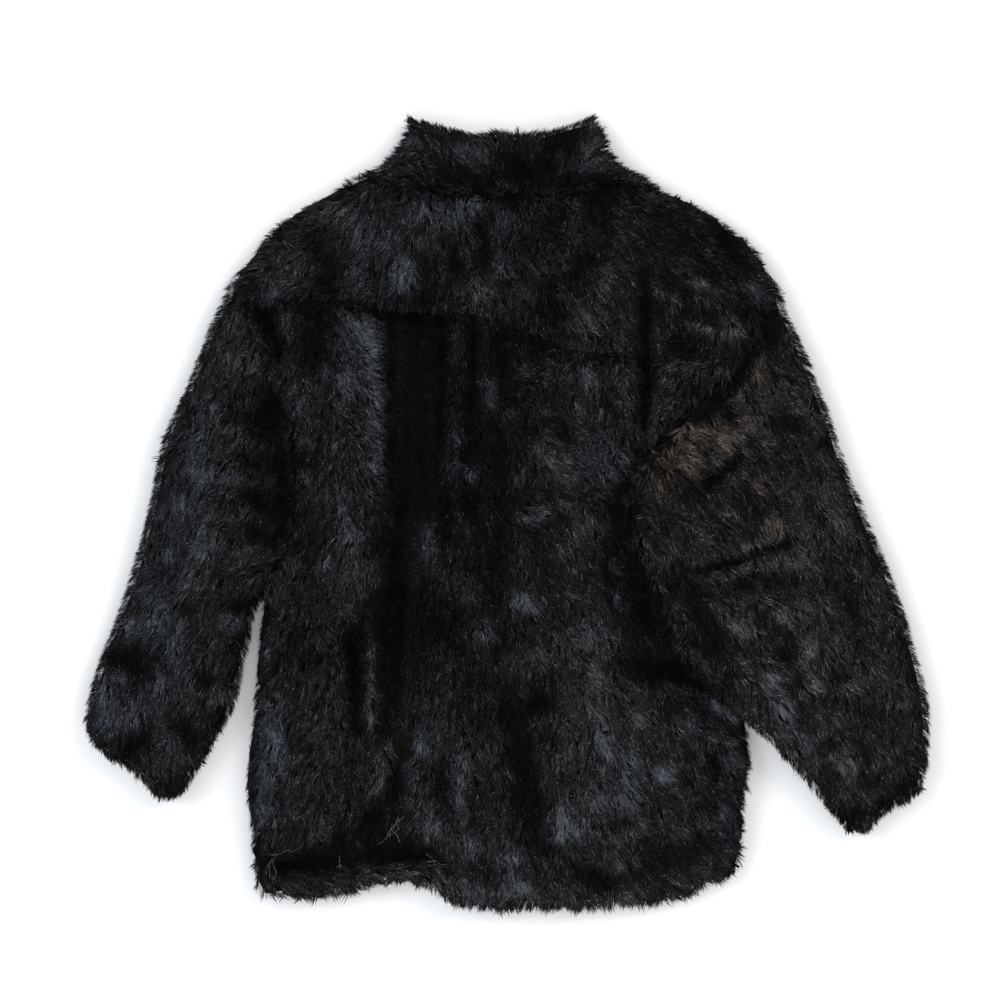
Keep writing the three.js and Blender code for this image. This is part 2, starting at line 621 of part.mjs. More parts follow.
/** A flattened tube's heights, with its folds on top and lifted where it lies on something. */
function tubeHeights(folds, lift) {
  return ({ x, y, fullness }) => {
    const base = lift(x, y);
    const crush = 1 - (SLEEVE_CRUSH * base) / (LOWER + PRESSED);
    const middle = base + LOWER * crush;
    const above = (UPPER * crush + foldHeight(folds, x, y)) * fullness;
    return { top: middle + above, middle, bottom: middle - LOWER * crush * fullness };
  };
}

const onTheSurface = () => 0;

// ---------- The pieces, in the order they are sewn on ----------
function yoke() {
  const top = joined(leftShoulder, neckSeam, rightShoulder);
  const leftTop = endsAs(FOLD, SEAM, leftShoulder.length / top.length);
  const rightTop = endsAs(SEAM, FOLD, 1 - rightShoulder.length / top.length);
  const grid = patch({
    left: turned(leftArmholeYoke),
    right: turned(rightArmholeYoke),
    bottom: yokeSeam,
    top,
    across: { steps: 34 },
    along: { steps: 7, closeStart: false },
    ends: {
      left: SEAM,
      right: SEAM,
      bottom: OVERHANG,
      top: (share) => (share < 0.5 ? leftTop(share) : rightTop(share)),
    },
  });
  return panelGeometry(drawnIn(grid), { z: upperTop(YOKE_FOLDS), flatZ: upperFloor, open: [] });
}

function back() {
  const left = joined(turned(leftSide), turned(leftArmholeBack));
  const right = joined(turned(rightSide), turned(rightArmholeBack));
  const underarm = leftSide.length / left.length;
  const grid = patch({
    left,
    right,
    bottom: hem,
    top: yokeSeam,
    across: { steps: 34 },
    along: { steps: 44, closeEnd: false, corners: [underarm] },
    ends: {
      left: endsAs(FOLD, SEAM, underarm),
      right: endsAs(FOLD, SEAM, rightSide.length / right.length),
      bottom: OPEN,
      top: UNDER_YOKE,
    },
  });
  const folds = [...BODY_FOLDS, ...gathers, ...ripples];
  return panelGeometry(drawnIn(grid), { z: upperTop(folds), flatZ: upperFloor, open: ["bottom"] });
}

/** A front is flat where it rests, and rounds up to the layer on top of it. */
function frontGeometry(grid, open) {
  const resting = { left: ROUNDING, right: ROUNDING, bottom: ROUNDING, top: ROUNDING };
  return panelGeometry(drawnIn(grid), { z: lowerBottom, flatZ: lowerCeiling, open, plain: resting });
}

function frontLeft() {
  const neckHalf = halfOf(neckSeam, -1);
  const left = joined(turned(leftSide), turned(leftArmholeBack), turned(leftArmholeYoke));
  const top = joined(leftShoulder, neckHalf);
  const bottom = halfOf(hem, -1);
  const underarm = leftSide.length / left.length;
  const grid = patch({
    left,
    right: line([bottom.at(1), top.at(1)]),
    bottom,
    top,
    across: { steps: 12 },
    along: { steps: 44, corners: [underarm] },
    ends: {
      left: endsAs(FOLD, SEAM, underarm),
      right: OPEN,
      bottom: OPEN,
      top: endsAs(FOLD, SEAM, leftShoulder.length / top.length),
    },
  });
  return frontGeometry(grid, ["bottom", "right"]);
}

function frontRight() {
  const neckHalf = halfOf(neckSeam, 1);
  const right = joined(turned(rightSide), turned(rightArmholeBack), turned(rightArmholeYoke));
  const top = joined(neckHalf, rightShoulder);
  const bottom = halfOf(hem, 1);
  const grid = patch({
    left: line([bottom.at(0), top.at(0)]),
    right,
    bottom,
    top,
    across: { steps: 12 },
    along: { steps: 44 },
    ends: {
      left: OPEN,
      right: endsAs(FOLD, SEAM, rightSide.length / right.length),
      bottom: OPEN,
      top: endsAs(SEAM, FOLD, neckHalf.length / top.length),
    },
  });
  return frontGeometry(grid, ["bottom", "left"]);
}

/** The lines of points inside which a tube that lies on the surface is flat underneath. */
const TUBE_REST = { left: ROUNDING, right: ROUNDING, bottom: 1, top: ROUNDING };

function sleeve({ inner, outer, armhole, cuff, heights, plain }) {
  const grid = patch({
    left: line(inner),
    right: line(outer),
    bottom: armhole,
    top: line(cuff),
    across: { steps: 16 },
    along: { steps: 25, closeStart: false },
    ends: { left: FOLD, right: FOLD, bottom: SEAM, top: OPEN },
    freeCorner: true,
  });
  return tubeGeometry(drawnIn(grid), heights, plain);
}

function leftSleeve() {
  return sleeve({
    inner: LEFT_SLEEVE_INNER,
    outer: LEFT_SLEEVE_OUTER,
    armhole: turned(joined(leftArmholeYoke, leftArmholeBack)),
    cuff: LEFT_CUFF,
    heights: tubeHeights(LEFT_SLEEVE_FOLDS, onTheSurface),
    plain: TUBE_REST,
  });
}

function rightSleeve() {
  return sleeve({
    inner: RIGHT_SLEEVE_INNER,
    outer: RIGHT_SLEEVE_OUTER,
    armhole: turned(joined(rightArmholeYoke, rightArmholeBack, line(RIGHT_ARMHOLE_FOLDED))),
    cuff: RIGHT_CUFF,
    heights: tubeHeights(RIGHT_SLEEVE_FOLDS, sleeveLift),
  });
}

const manifold = await Module();
manifold.setup();

function toSolid(geometry) {
  const plain = geometry.clone();
  plain.deleteAttribute("normal");
  plain.deleteAttribute("uv");
  const merged = mergeVertices(plain, 1e-4);
  const mesh = new manifold.Mesh({
    numProp: 3,
    vertProperties: new Float32Array(merged.attributes.position.array),
    triVerts: new Uint32Array(merged.index.array),
  });
  return new manifold.Manifold(mesh);
}

function fromSolid(solid) {
  const { vertProperties, triVerts } = solid.getMesh();
  const geometry = new THREE.BufferGeometry();
  geometry.setAttribute("position", new THREE.BufferAttribute(vertProperties, 3));
  geometry.setIndex(new THREE.BufferAttribute(triVerts, 1));
  return geometry;
}

/** The collar is a flattened band. Its ends meet underneath at the front opening. */
function collar() {
  const top = line(COLLAR_TOP);
  const grid = patch({
    left: line(COLLAR_LEFT),
    right: line(COLLAR_RIGHT),
    bottom: neckSeam,
    top,
    across: { steps: 16 },
    along: { steps: 4, closeStart: false },
    ends: { left: FOLD, right: FOLD, bottom: SEAM, top: OPEN },
  });
  const band = tubeGeometry(drawnIn(grid), tubeHeights(COLLAR_FOLDS, onTheSurface));
  const [high, low] = [top.at(0.5).y, neckSeam.at(0.5).y];
  const parting = new THREE.BoxGeometry(FRONT_OPENING.width, 2 * (high - low), 2 * LOWER);
  parting.translate(FRONT_OPENING.x, (high + low) / 2, 0);
  return fromSolid(toSolid(band).subtract(toSolid(parting)));
}

// ---------- The coat ----------
const PIECES = [
  { name: "front_left", build: frontLeft, colour: 0x17181a },
  { name: "front_right", build: frontRight, colour: 0x17181a },
  { name: "back", build: back, colour: 0x1a1c20 },
  { name: "yoke", build: yoke, colour: 0x1b1e23 },
  { name: "sleeve_left", build: leftSleeve, colour: 0x1a1d22 },
  { name: "sleeve_right", build: rightSleeve, colour: 0x1f1b1a },
  { name: "collar", build: collar, colour: 0x1a1c21 },
];
const PILE_ROUGHNESS = 0.55;

const coat = new THREE.Group(); // its origin is under the middle of the whole coat
for (const { name, build, colour } of PIECES) {
  const material = new THREE.MeshStandardMaterial({ color: colour, roughness: PILE_ROUGHNESS, metalness: 0 });
  const mesh = new THREE.Mesh(build(), material);
  mesh.name = name;
  coat.add(mesh);
}
const middle = new THREE.Box3().setFromObject(coat).getCenter(new THREE.Vector3());
coat.position.set(-middle.x, -middle.y, 0);

export default coat;
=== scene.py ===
# A black faux fur coat that lies face down on a pale surface. Places are in the coat's own frame: +X to its
# right as it lies, +Y from the hem to the collar, +Z up from the surface. Tables are in millimetres.
import math

import bpy
import numpy as np
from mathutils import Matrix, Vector
from mathutils.bvhtree import BVHTree
from mathutils.kdtree import KDTree


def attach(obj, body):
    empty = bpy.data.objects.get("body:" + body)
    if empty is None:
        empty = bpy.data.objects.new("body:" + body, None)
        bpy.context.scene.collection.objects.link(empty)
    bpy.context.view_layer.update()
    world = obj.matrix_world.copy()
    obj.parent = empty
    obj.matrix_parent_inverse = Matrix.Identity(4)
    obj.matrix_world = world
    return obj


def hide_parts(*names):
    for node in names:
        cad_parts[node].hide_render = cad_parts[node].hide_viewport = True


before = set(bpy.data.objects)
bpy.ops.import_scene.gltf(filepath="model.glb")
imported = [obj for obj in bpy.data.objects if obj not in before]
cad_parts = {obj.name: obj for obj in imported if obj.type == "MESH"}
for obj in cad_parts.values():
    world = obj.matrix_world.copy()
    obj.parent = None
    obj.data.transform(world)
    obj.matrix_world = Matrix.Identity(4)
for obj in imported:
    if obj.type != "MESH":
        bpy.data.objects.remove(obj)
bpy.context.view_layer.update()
bpy.ops.object.select_all(action="DESELECT")

# ---------- Fronts ----------
# The two fronts lie face down under the rest of the coat, side by side at the front opening.
# Each is a knitted backing with the pile on its underside, and the coat's weight presses that pile flat.

mm = 0.001
FLAT = (1, 1, 0)  # brings a place or a direction down to the surface
PILE_AT_FOLDS = 8 * mm  # from the cloth to the ends of the pile, at a folded or open edge
DRAWN_IN = (4 * mm, 24 * mm)  # cloth nearer than this to a seam isn't drawn in, and farther off it is fully
PILE_OVER_SEAM = (2 * mm, 22 * mm)  # the pile bulges over a seam up to the first, and no more from the second
LEAST_CLOTH = 1.5 * mm  # the thinnest that the cloth gets
UPPER_SHARE, UNDER_SHARE = 0.63, 0.37  # of the pile's room, where both sides of a layer have pile
TOUCHING = 3.5 * mm  # cloth closer than this to another piece is covered by it
SKIN = 0.02  # mm, a step through a face
DOUBLES = 0.01 * mm
FACES_UP, SLANTED, EDGE_ON = 0.5, 0.3, 0.15  # how far a side faces up or down, from 0 to 1


def smoothstep(x, low, high):
    share = np.clip((x - low) / (high - low), 0, 1)
    return share * share * (3 - 2 * share)


def unit(vectors):
    return vectors / np.maximum(np.linalg.norm(vectors, axis=1), 1e-9)[:, None]


def scaled(vectors, amounts):
    """Each vector by its own amount."""
    return vectors * amounts[:, None]


def crossed(corners):
    """The outward direction of each triangle, as long as twice its area."""
    return np.cross(corners[:, 1] - corners[:, 0], corners[:, 2] - corners[:, 0])


def tree_of(places):
    tree = KDTree(len(places))
    for number, place in enumerate(places):
        tree.insert(place, number)
    tree.balance()
    return tree


def new_object(name, data):
    piece = bpy.data.objects.new(name, data)
    bpy.context.scene.collection.objects.link(piece)
    return piece


def select_only(piece):
    bpy.ops.object.select_all(action="DESELECT")
    piece.select_set(True)
    bpy.context.view_layer.objects.active = piece


def all_solids():
    """The coat's solids as one tree."""
    points, faces = [], []
    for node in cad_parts.values():
        first = len(points)
        points += [vertex.co.copy() for vertex in node.data.vertices]
        faces += [[first + i for i in face.vertices] for face in node.data.polygons]
    return BVHTree.FromPolygons(points, faces)


solids = all_solids()


def is_covered(origin, direction):
    """True if another piece, or the other layer of a tube, lies right on the cloth."""
    left = TOUCHING
    while left > 0:
        place, normal, _, far = solids.ray_cast(origin, direction, left)
        if place is None:
            return False
        if normal.dot(direction) < 0:
            return True
        origin = place + direction * SKIN * mm
        left -= far + SKIN * mm
    return False


def near_run(row, x, y):
    """From 1 on a row's run, from its start to its end, to 0 away from it, over about its width."""
    (x0, y0), (x1, y1) = row["start"], row["end"]
    run_x, run_y = x1 * mm - x0 * mm, y1 * mm - y0 * mm
    along = ((x - x0 * mm) * run_x + (y - y0 * mm) * run_y) / max(run_x**2 + run_y**2, 1e-12)
    along = np.clip(along, 0, 1)
    off = np.hypot(x - x0 * mm - run_x * along, y - y0 * mm - run_y * along)
    return np.exp(-((off / (row["width"] * mm)) ** 2))


def in_table(table, key, x, y):
    """What the rows of a table add up to at each (x, y)."""
    return sum((row[key] * near_run(row, x, y) for row in table), np.zeros_like(x))


def finer_copy(node, name):
    """A solid's form with its loose triangles joined, and each of them divided into four."""
    piece = new_object(name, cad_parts[node].data.copy())
    select_only(piece)
    bpy.ops.object.mode_set(mode="EDIT")
    bpy.ops.mesh.select_all(action="SELECT")
    bpy.ops.mesh.remove_doubles(threshold=DOUBLES)
    bpy.ops.mesh.quads_convert_to_tris()
    bpy.ops.object.mode_set(mode="OBJECT")
    finer = piece.modifiers.new("finer", "SUBSURF")
    finer.subdivision_type = "SIMPLE"
    finer.levels = finer.render_levels = 1
    bpy.ops.object.modifier_apply(modifier=finer.name)
    bpy.ops.object.mode_set(mode="EDIT")
    bpy.ops.mesh.select_all(action="SELECT")
    bpy.ops.mesh.quads_convert_to_tris()
    bpy.ops.object.mode_set(mode="OBJECT")
    bpy.ops.object.shade_smooth()
    return piece


def cloth(node, name, pile_share, creases=()):
    """
    The backing of a piece: its solid's form, drawn in by the pile on every side that isn't covered.
    pile_share is the pile's share of the thickness. Returns the piece and what its pile grows from.
    """
    piece = finer_copy(node, name)
    points = np.array([vertex.co for vertex in piece.data.vertices])
    faces = np.array([face.vertices for face in piece.data.polygons])
    corners = points[faces]
    square = crossed(corners)
    area = np.linalg.norm(square, axis=1) / 2
    facing = square / np.maximum(2 * area, 1e-12)[:, None]
    centres = corners.mean(axis=1)
    covered = np.array([is_covered(Vector(c), Vector(n)) for c, n in zip(centres, facing)])

    outward = np.zeros_like(points)
    for column in range(3):
        np.add.at(outward, faces[~covered, column], square[~covered])
    outward /= np.maximum(np.linalg.norm(outward, axis=1), 1e-12)[:, None]
    free = np.zeros(len(points), bool)
    free[faces[~covered].ravel()] = True

    seam = np.unique(faces[covered & (np.abs(facing[:, 2]) < FACES_UP)])
    from_seam, to_seam = np.ones(len(points)), np.zeros_like(points)
    if len(seam):
        seams = tree_of(points[seam] * FLAT)
        nearest = [seams.find(point * FLAT) for point in points]
        from_seam = np.array([far for _, _, far in nearest])
        to_seam = unit(np.array([place for place, _, _ in nearest]) - points * FLAT)

    own = BVHTree.FromPolygons([Vector(p) for p in points], faces.tolist())
    moved = points.copy()
    for i in np.flatnonzero(free):
        up = outward[i][2]
        inside = Vector(points[i] - outward[i] * mm)
        if abs(up) > EDGE_ON:
            down = Vector((0, 0, -math.copysign(1, up)))
            _, _, other_side, far = own.ray_cast(inside, down)
            if other_side is not None:
                wall = far + mm * abs(up)
                if not covered[other_side]:
                    wall *= UPPER_SHARE if up > 0 else UNDER_SHARE
                thinner = min(wall * pile_share, max(wall - LEAST_CLOTH, 0))
                moved[i][2] += down[2] * thinner
        away = PILE_AT_FOLDS * float(smoothstep(from_seam[i], *DRAWN_IN))
        moved[i][:2] -= outward[i][:2] * away
    on_top = free & (outward[:, 2] > SLANTED)
    moved[on_top, 2] -= in_table(creases, "depth", points[on_top, 0], points[on_top, 1]) * mm
    piece.data.vertices.foreach_set("co", moved.ravel())
    piece.data.update()
    growing = {
        "points": moved,
        "faces": faces[~covered],
        "reach": points - moved,
        "outward": outward,
        "by_seam": 1 - smoothstep(from_seam, *PILE_OVER_SEAM),
        "to_seam": to_seam,
    }
    return piece, growing


def waves(x, y, size, seed):
    """A smooth uneven pattern from about -1 to 1: seven ripples of about the given size, at odd angles."""
    random = np.random.default_rng(seed)
    total = np.zeros_like(x)
    for _ in range(7):
        angle, phase = random.uniform(0, 2 * math.pi, 2)
        pitch = size * random.uniform(0.7, 1.6)
        total += np.sin((x * math.cos(angle) + y * math.sin(angle)) * 2 * math.pi / pitch + phase)
    return total / 3


def stroke(place, reach, towards):
    """A stroke of the comb: near its place, the pile is turned to a direction, in degrees from +X."""
    return {"place": place, "reach": reach, "towards": towards}


DOWN_COAT = -0.25  # how strongly the pile hangs down the coat, where a stroke of the comb has a strength of 1


def combed(comb, x, y):
    """The way the pile lies: down the coat, turned by the strokes of the comb."""
    flow_x, flow_y = np.zeros_like(x), np.full_like(y, DOWN_COAT)
    for row in comb:
        towards = math.radians(row["towards"])
        off_x, off_y = x - row["place"][0] * mm, y - row["place"][1] * mm
        near = np.exp(-(off_x**2 + off_y**2) / (row["reach"] * mm) ** 2)
        flow_x += near * math.cos(towards)
        flow_y += near * math.sin(towards)
    return np.arctan2(flow_y, flow_x)


def across(vectors, others):
    """The part of each vector that is square to its other vector."""
    return vectors - scaled(others, (vectors * others).sum(axis=1))


def grouped(places, count, random):
    """The number of the nearest of about count of the places, for each place, and where those are."""
    middles = places[random.choice(len(places), max(int(count), 1), replace=False)]
    tree = tree_of(middles)
    return np.array([tree.find(place)[1] for place in places]), middles


CELL = 6 * mm
MARGIN = 12 * CELL
NEARBY, AROUND = 1, 5  # cells to each side
HOLLOW = 3 * mm  # a hollow this deep, over a few centimetres, is painted in full shade


def relief(points, x, y):
    """How high the top of a piece is at each (x, y), against its surroundings, as a share of HOLLOW. It sets
    the shade painted into hollows.
    """
    low = points[:, :2].min(axis=0) - MARGIN
    size = np.ceil((points[:, :2].max(axis=0) + MARGIN - low) / CELL).astype(int)
    places = tuple(((points[:, :2] - low) / CELL).astype(int).T)
    total, number = np.zeros(size), np.zeros(size)
    np.add.at(total, places, points[:, 2])
    np.add.at(number, places, 1)

    def averaged(cells):
        sums = []
        for values in (total, number):
            for axis in (0, 1):
                values = sum(np.roll(values, shift, axis) for shift in range(-cells, cells + 1))
            sums.append(values)
        return sums[0] / np.maximum(sums[1], 1)

    higher = np.clip((averaged(NEARBY) - averaged(AROUND)) / HOLLOW, -1, 1)
    return higher[tuple(((np.stack([x, y]) - low[:, None]) / CELL).astype(int))]


PILE_UNDERNEATH = 0.25  # how dense the pile needs to be where the coat lies on it
NEARLY_ALL = 0.8  # a piece with more of its faces underneath has even pile
LOCK = 15 * mm  # the pile parts into locks of about this size
SWELL, CURL, RIDGE, SWAY = 60 * mm, 28 * mm, 11 * mm, 22 * mm  # the sizes of its unevenness
CURL_SEED, RIDGE_SEED = 7, 8  # the same on every layer, so that curls and ridges run through all of them
ALONG_RIDGE = np.arange(-12, 13, 4) * mm  # a ridge runs the way the pile lies
SWELL_TURN, CURL_TURN, LOCK_TURN = 0.25, 0.3, 0.1  # how far each turns the pile, in radians
LEAN_OUT = 0.3  # how far the pile leans out at an edge
MID_LOCK, LOCK_LIFT = 0.93, 0.07  # how high the pile stands in the middle of a lock, and more at its end
RIDGE_LIFT = 0.18
SWAY_BEND = 0.18
CLUMP_LONG = 1.6  # the length of a clump for its width
SHORTER_AT_EDGE, THICKER_AT_EDGE = 0.4, 0.9  # where the cloth faces sideways
BULGE = 7 * mm  # of the pile over a seam
ROOT = 0.6  # mm, how deep a fibre starts in the backing
LEAST_LYING = 0.4  # the share of a fibre's length that lies over, at the least
HELD_UP = 0.5  # how much less of it lies over where shade is painted, so that the pile stands up there
WIDEST = 0.75  # a fibre is widest where it has risen this share of its height
BENT_THERE, GATHERED_THERE = 0.3, 0.4  # the shares of its bend and of its clump's gathering at that place
ABOVE_SURFACE = 0.3 * mm
ROUND_LOOK = math.radians(60)  # how far a fibre's sides turn away, so that a flat strip shades like a hair
# What adds to the painted sheen and shade: height (shade painted in hollows, light on high places), the end
# of a lock, the edge of a seam, a curl, a ridge, and a sideways face (painted darker)
HIGH, LOCK_END, SEAM_EDGE, ON_CURL, ON_RIDGE, SIDEWAYS = 0.35, 0.12, 0.4, 0.12, 0.27, 0.5
CONTRAST = 2.0  # the shine grows by e to this power for each 1 that is added
SHEEN = 0.052  # the middle of the range of painted sheen
SHINE_ALONG = (0.4, 1, 1, 0.3)  # the painted sheen at a fibre's root, its two sides and its tip, with less at the root for the shade there
# How warm the painted sheen is, from the cool window light to the warm lamp, and how far the tables of
# painted light turn it
WARMTH, WARMTH_OF_PAINTED_SHEEN = 0.36, 0.5


def fibre_mesh(name, vertices, normals):
    """Fibres of four corners and two triangles each: the root, the two sides and the tip."""
    fibres = np.arange(0, len(vertices), 4)[:, None, None]
    triangles = (fibres + np.array([[0, 1, 2], [1, 3, 2]])).reshape(-1, 3)
    mesh = bpy.data.meshes.new(name)
    mesh.vertices.add(len(vertices))
    mesh.vertices.foreach_set("co", vertices.ravel())
    mesh.loops.add(triangles.size)
    mesh.loops.foreach_set("vertex_index", triangles.ravel())
    mesh.polygons.add(len(triangles))
    mesh.polygons.foreach_set("loop_start", np.arange(0, triangles.size, 3))
    mesh.polygons.foreach_set("loop_total", np.full(len(triangles), 3))
    mesh.polygons.foreach_set("use_smooth", np.ones(len(triangles), bool))
    mesh.update(calc_edges=True)
    mesh.validate()
    mesh.normals_split_custom_set_from_vertices(unit(normals))
    return mesh


def pile(name, growing, layer, comb, painted_light, seed):
    """
    One layer of pile, as one mesh of tapered fibres in fine clumps. Each fibre rises from the backing
    to the outside of the solid and bends over the way it is combed. The bare numbers given to random are
    how far one lock, clump or fibre differs from the next.
    """
    random = np.random.default_rng(seed)
    points, faces = growing["points"], growing["faces"]
    area = np.linalg.norm(crossed(points[faces]), axis=1)
    underneath = growing["outward"][faces].mean(axis=1)[:, 2] < -SLANTED
    area[underneath] *= 1 if underneath.mean() > NEARLY_ALL else PILE_UNDERNEATH
    clumps = layer["clumps"]
    chosen = random.choice(len(faces), clumps, p=area / area.sum())
    a, b = random.random((2, clumps))
    flip = a + b > 1
    a[flip], b[flip] = 1 - a[flip], 1 - b[flip]
    shares = np.stack([1 - a - b, a, b], axis=1)

    def at_clumps(values):
        """Each clump's share of what the corners of its triangle have."""
        weights = shares.reshape(shares.shape + (1,) * (values.ndim - 1))
        return (values[faces[chosen]] * weights).sum(axis=1)

    centre = at_clumps(points)
    reach = at_clumps(growing["reach"])
    outward = unit(at_clumps(growing["outward"]))
    x, y = centre[:, 0], centre[:, 1]
    lock, middles = grouped(centre, area.sum() / 2 / LOCK**2, random)
    curl = waves(x, y, CURL, CURL_SEED)
    angle = combed(comb, x, y) + SWELL_TURN * waves(x, y, SWELL, seed + 1) + CURL_TURN * curl
    along = np.stack([np.cos(angle), np.sin(angle)])
    ridges = [waves(*(np.stack([x, y]) + step * along), RIDGE, RIDGE_SEED) for step in ALONG_RIDGE]
    ridge = np.tanh(sum(ridges) / 3)
    angle += random.normal(0, LOCK_TURN, len(middles))[lock] + random.normal(0, layer["ragged"], clumps)
    flow = np.stack([np.cos(angle), np.sin(angle), np.zeros(clumps)], axis=1)
    down_lock = np.clip(((centre - middles[lock]) * flow).sum(axis=1) / (LOCK / 2), -1, 1)
    flow = unit(across(flow, outward) + outward * FLAT * LEAN_OUT)
    side = unit(np.cross(outward, flow))
    stands_up = np.clip(-in_table(painted_light, "shine", x, y), 0, 1)
    sideways = 1 - np.abs(outward[:, 2])
    by_seam = at_clumps(growing["by_seam"])
    over_seam = by_seam * np.clip((flow * at_clumps(growing["to_seam"])).sum(axis=1), 0, 1)
    top = growing["outward"][:, 2] > FACES_UP
    # Painted light and shade in the pile's colour: lighter on high places, darker in hollows, and set by
    # lock, seam, curl, ridge and sideways face
    height = relief((points + growing["reach"])[top], x, y)
    shine = HIGH * height * (1 - by_seam) + LOCK_END * down_lock
    shine += SEAM_EDGE * (by_seam - over_seam)
    shine += ON_CURL * curl + ON_RIDGE * ridge + random.normal(0, 0.06, len(middles))[lock]
    shine += random.normal(0, 0.08, clumps) - SIDEWAYS * sideways
    long = layer["length"] * mm * random.uniform(0.8, 1.2, clumps)
    lift = layer["standing"] * random.uniform(0.85, 1.05, clumps)
    lift = lift * (MID_LOCK + LOCK_LIFT * down_lock) * (1 + RIDGE_LIFT * ridge)
    sway = SWAY_BEND * waves(x, y, SWAY, seed + 4) + random.normal(0, 0.04, clumps)

    of = np.repeat(np.arange(clumps), layer["fibres"])
    count = len(of)
    spread = layer["spread"] * mm * np.sqrt(random.random(count))
    turn = random.uniform(0, 2 * math.pi, count)
    offset = scaled(flow[of], CLUMP_LONG * spread * np.cos(turn)) + scaled(side[of], spread * np.sin(turn))
    own_long = long[of] * random.uniform(0.7, 1.1, count)
    own_long *= (1 + over_seam[of] * random.uniform(-0.4, 0.9, count)) * (1 - SHORTER_AT_EDGE * sideways[of])
    rise = scaled(reach[of], lift[of] * random.uniform(0.85, 1.1, count))
    rise += scaled(outward[of], BULGE * by_seam[of] * random.uniform(0.2, 1, count))
    risen = np.linalg.norm(rise, axis=1)
    lying = np.sqrt(np.maximum(own_long**2 - risen**2, (LEAST_LYING * own_long) ** 2))
    lying *= 1 - HELD_UP * stands_up[of]
    bend = sway[of] + random.normal(0, 0.06, count)
    root = centre[of] + offset - outward[of] * ROOT * mm
    gathered = scaled(offset, random.uniform(0.7, 1.1, count))
    tip = centre[of] + gathered + rise + scaled(flow[of], lying) + scaled(side[of], lying * bend)
    part = random.uniform(0.3, 0.6, count)
    middle = root + rise * WIDEST + scaled(flow[of], lying * part)
    middle = middle - scaled(side[of], lying * bend * BENT_THERE)
    middle += (gathered - offset) * GATHERED_THERE
    roll = random.normal(0, 0.35, count)
    over = scaled(side[of], np.cos(roll)) + scaled(outward[of], np.sin(roll))
    thick = layer["thick"] * mm * random.uniform(0.7, 1.3, count) * (1 + THICKER_AT_EDGE * sideways[of])
    edge = scaled(over, thick / 2)
    round_up = unit(np.cross(tip - root, over)) * math.cos(ROUND_LOOK)
    round_over = over * math.sin(ROUND_LOOK)
    vertices = np.stack([root, middle - edge, middle + edge, tip], axis=1).reshape(-1, 3)
    vertices[:, 2] = np.maximum(vertices[:, 2], ABOVE_SURFACE)
    normals = np.stack([round_up, round_up - round_over, round_up + round_over, round_up], axis=1)
    mesh = fibre_mesh(name, vertices, normals.reshape(-1, 3))

    x, y = middle[:, 0], middle[:, 1]
    # Each fibre's painted sheen and shade, with glints painted at random, and the warmth of that painted
    # sheen
    own_shine = shine[of] + in_table(painted_light, "shine", x, y) + random.normal(0, layer["glint"], count)
    own_shine = SHEEN * layer["sheen"] * np.exp(CONTRAST * own_shine)
    own_warmth = WARMTH + WARMTH_OF_PAINTED_SHEEN * in_table(painted_light, "warm", x, y) + random.normal(0, 0.1, count)
    for key, values in (
        ("shine", np.outer(np.clip(own_shine, 0, 1), SHINE_ALONG).ravel()),
        ("warmth", np.repeat(np.clip(own_warmth, 0, 1), 4)),
    ):
        mesh.attributes.new(key, "FLOAT", "POINT").data.foreach_set("value", values)
    return new_object(name, mesh)


def add_node(tree, kind, inputs=(), **settings):
    """A node with its settings. Each of its inputs gets a value, or the socket that feeds it."""
    node = tree.nodes.new(kind)
    for key, value in settings.items():
        setattr(node, key, value)
    for key, value in dict(inputs).items():
        if isinstance(value, bpy.types.NodeSocket):
            tree.links.new(value, node.inputs[key])
        else:
            node.inputs[key].default_value = value
    return node


def mixed(tree, share, first, second):
    """A colour from the first to the second, by its share."""
    return add_node(tree, "ShaderNodeMix", {0: share, 6: first, 7: second}, data_type="RGBA").outputs[2]


def worked_out(tree, operation, *numbers, clamp=False):
    node = add_node(tree, "ShaderNodeMath", enumerate(numbers), operation=operation, use_clamp=clamp)
    return node.outputs["Value"]


# Glints painted into the fibres' colour, as small bright specks
GLINT_FINENESS = 520  # glints to a metre
GLINT_RARITY = (0.6, 0.82)  # of the noise, from no glint to a full one
GLINT_STRENGTH = 9  # how much brighter a glint is than the fibre round it
NO_GLINT = 0.95
LEAST_SHINE = 0.004
DULL, GLOSSY = 0.6, 0.35  # roughness with no shine and with SHINY
SHINY = 0.3


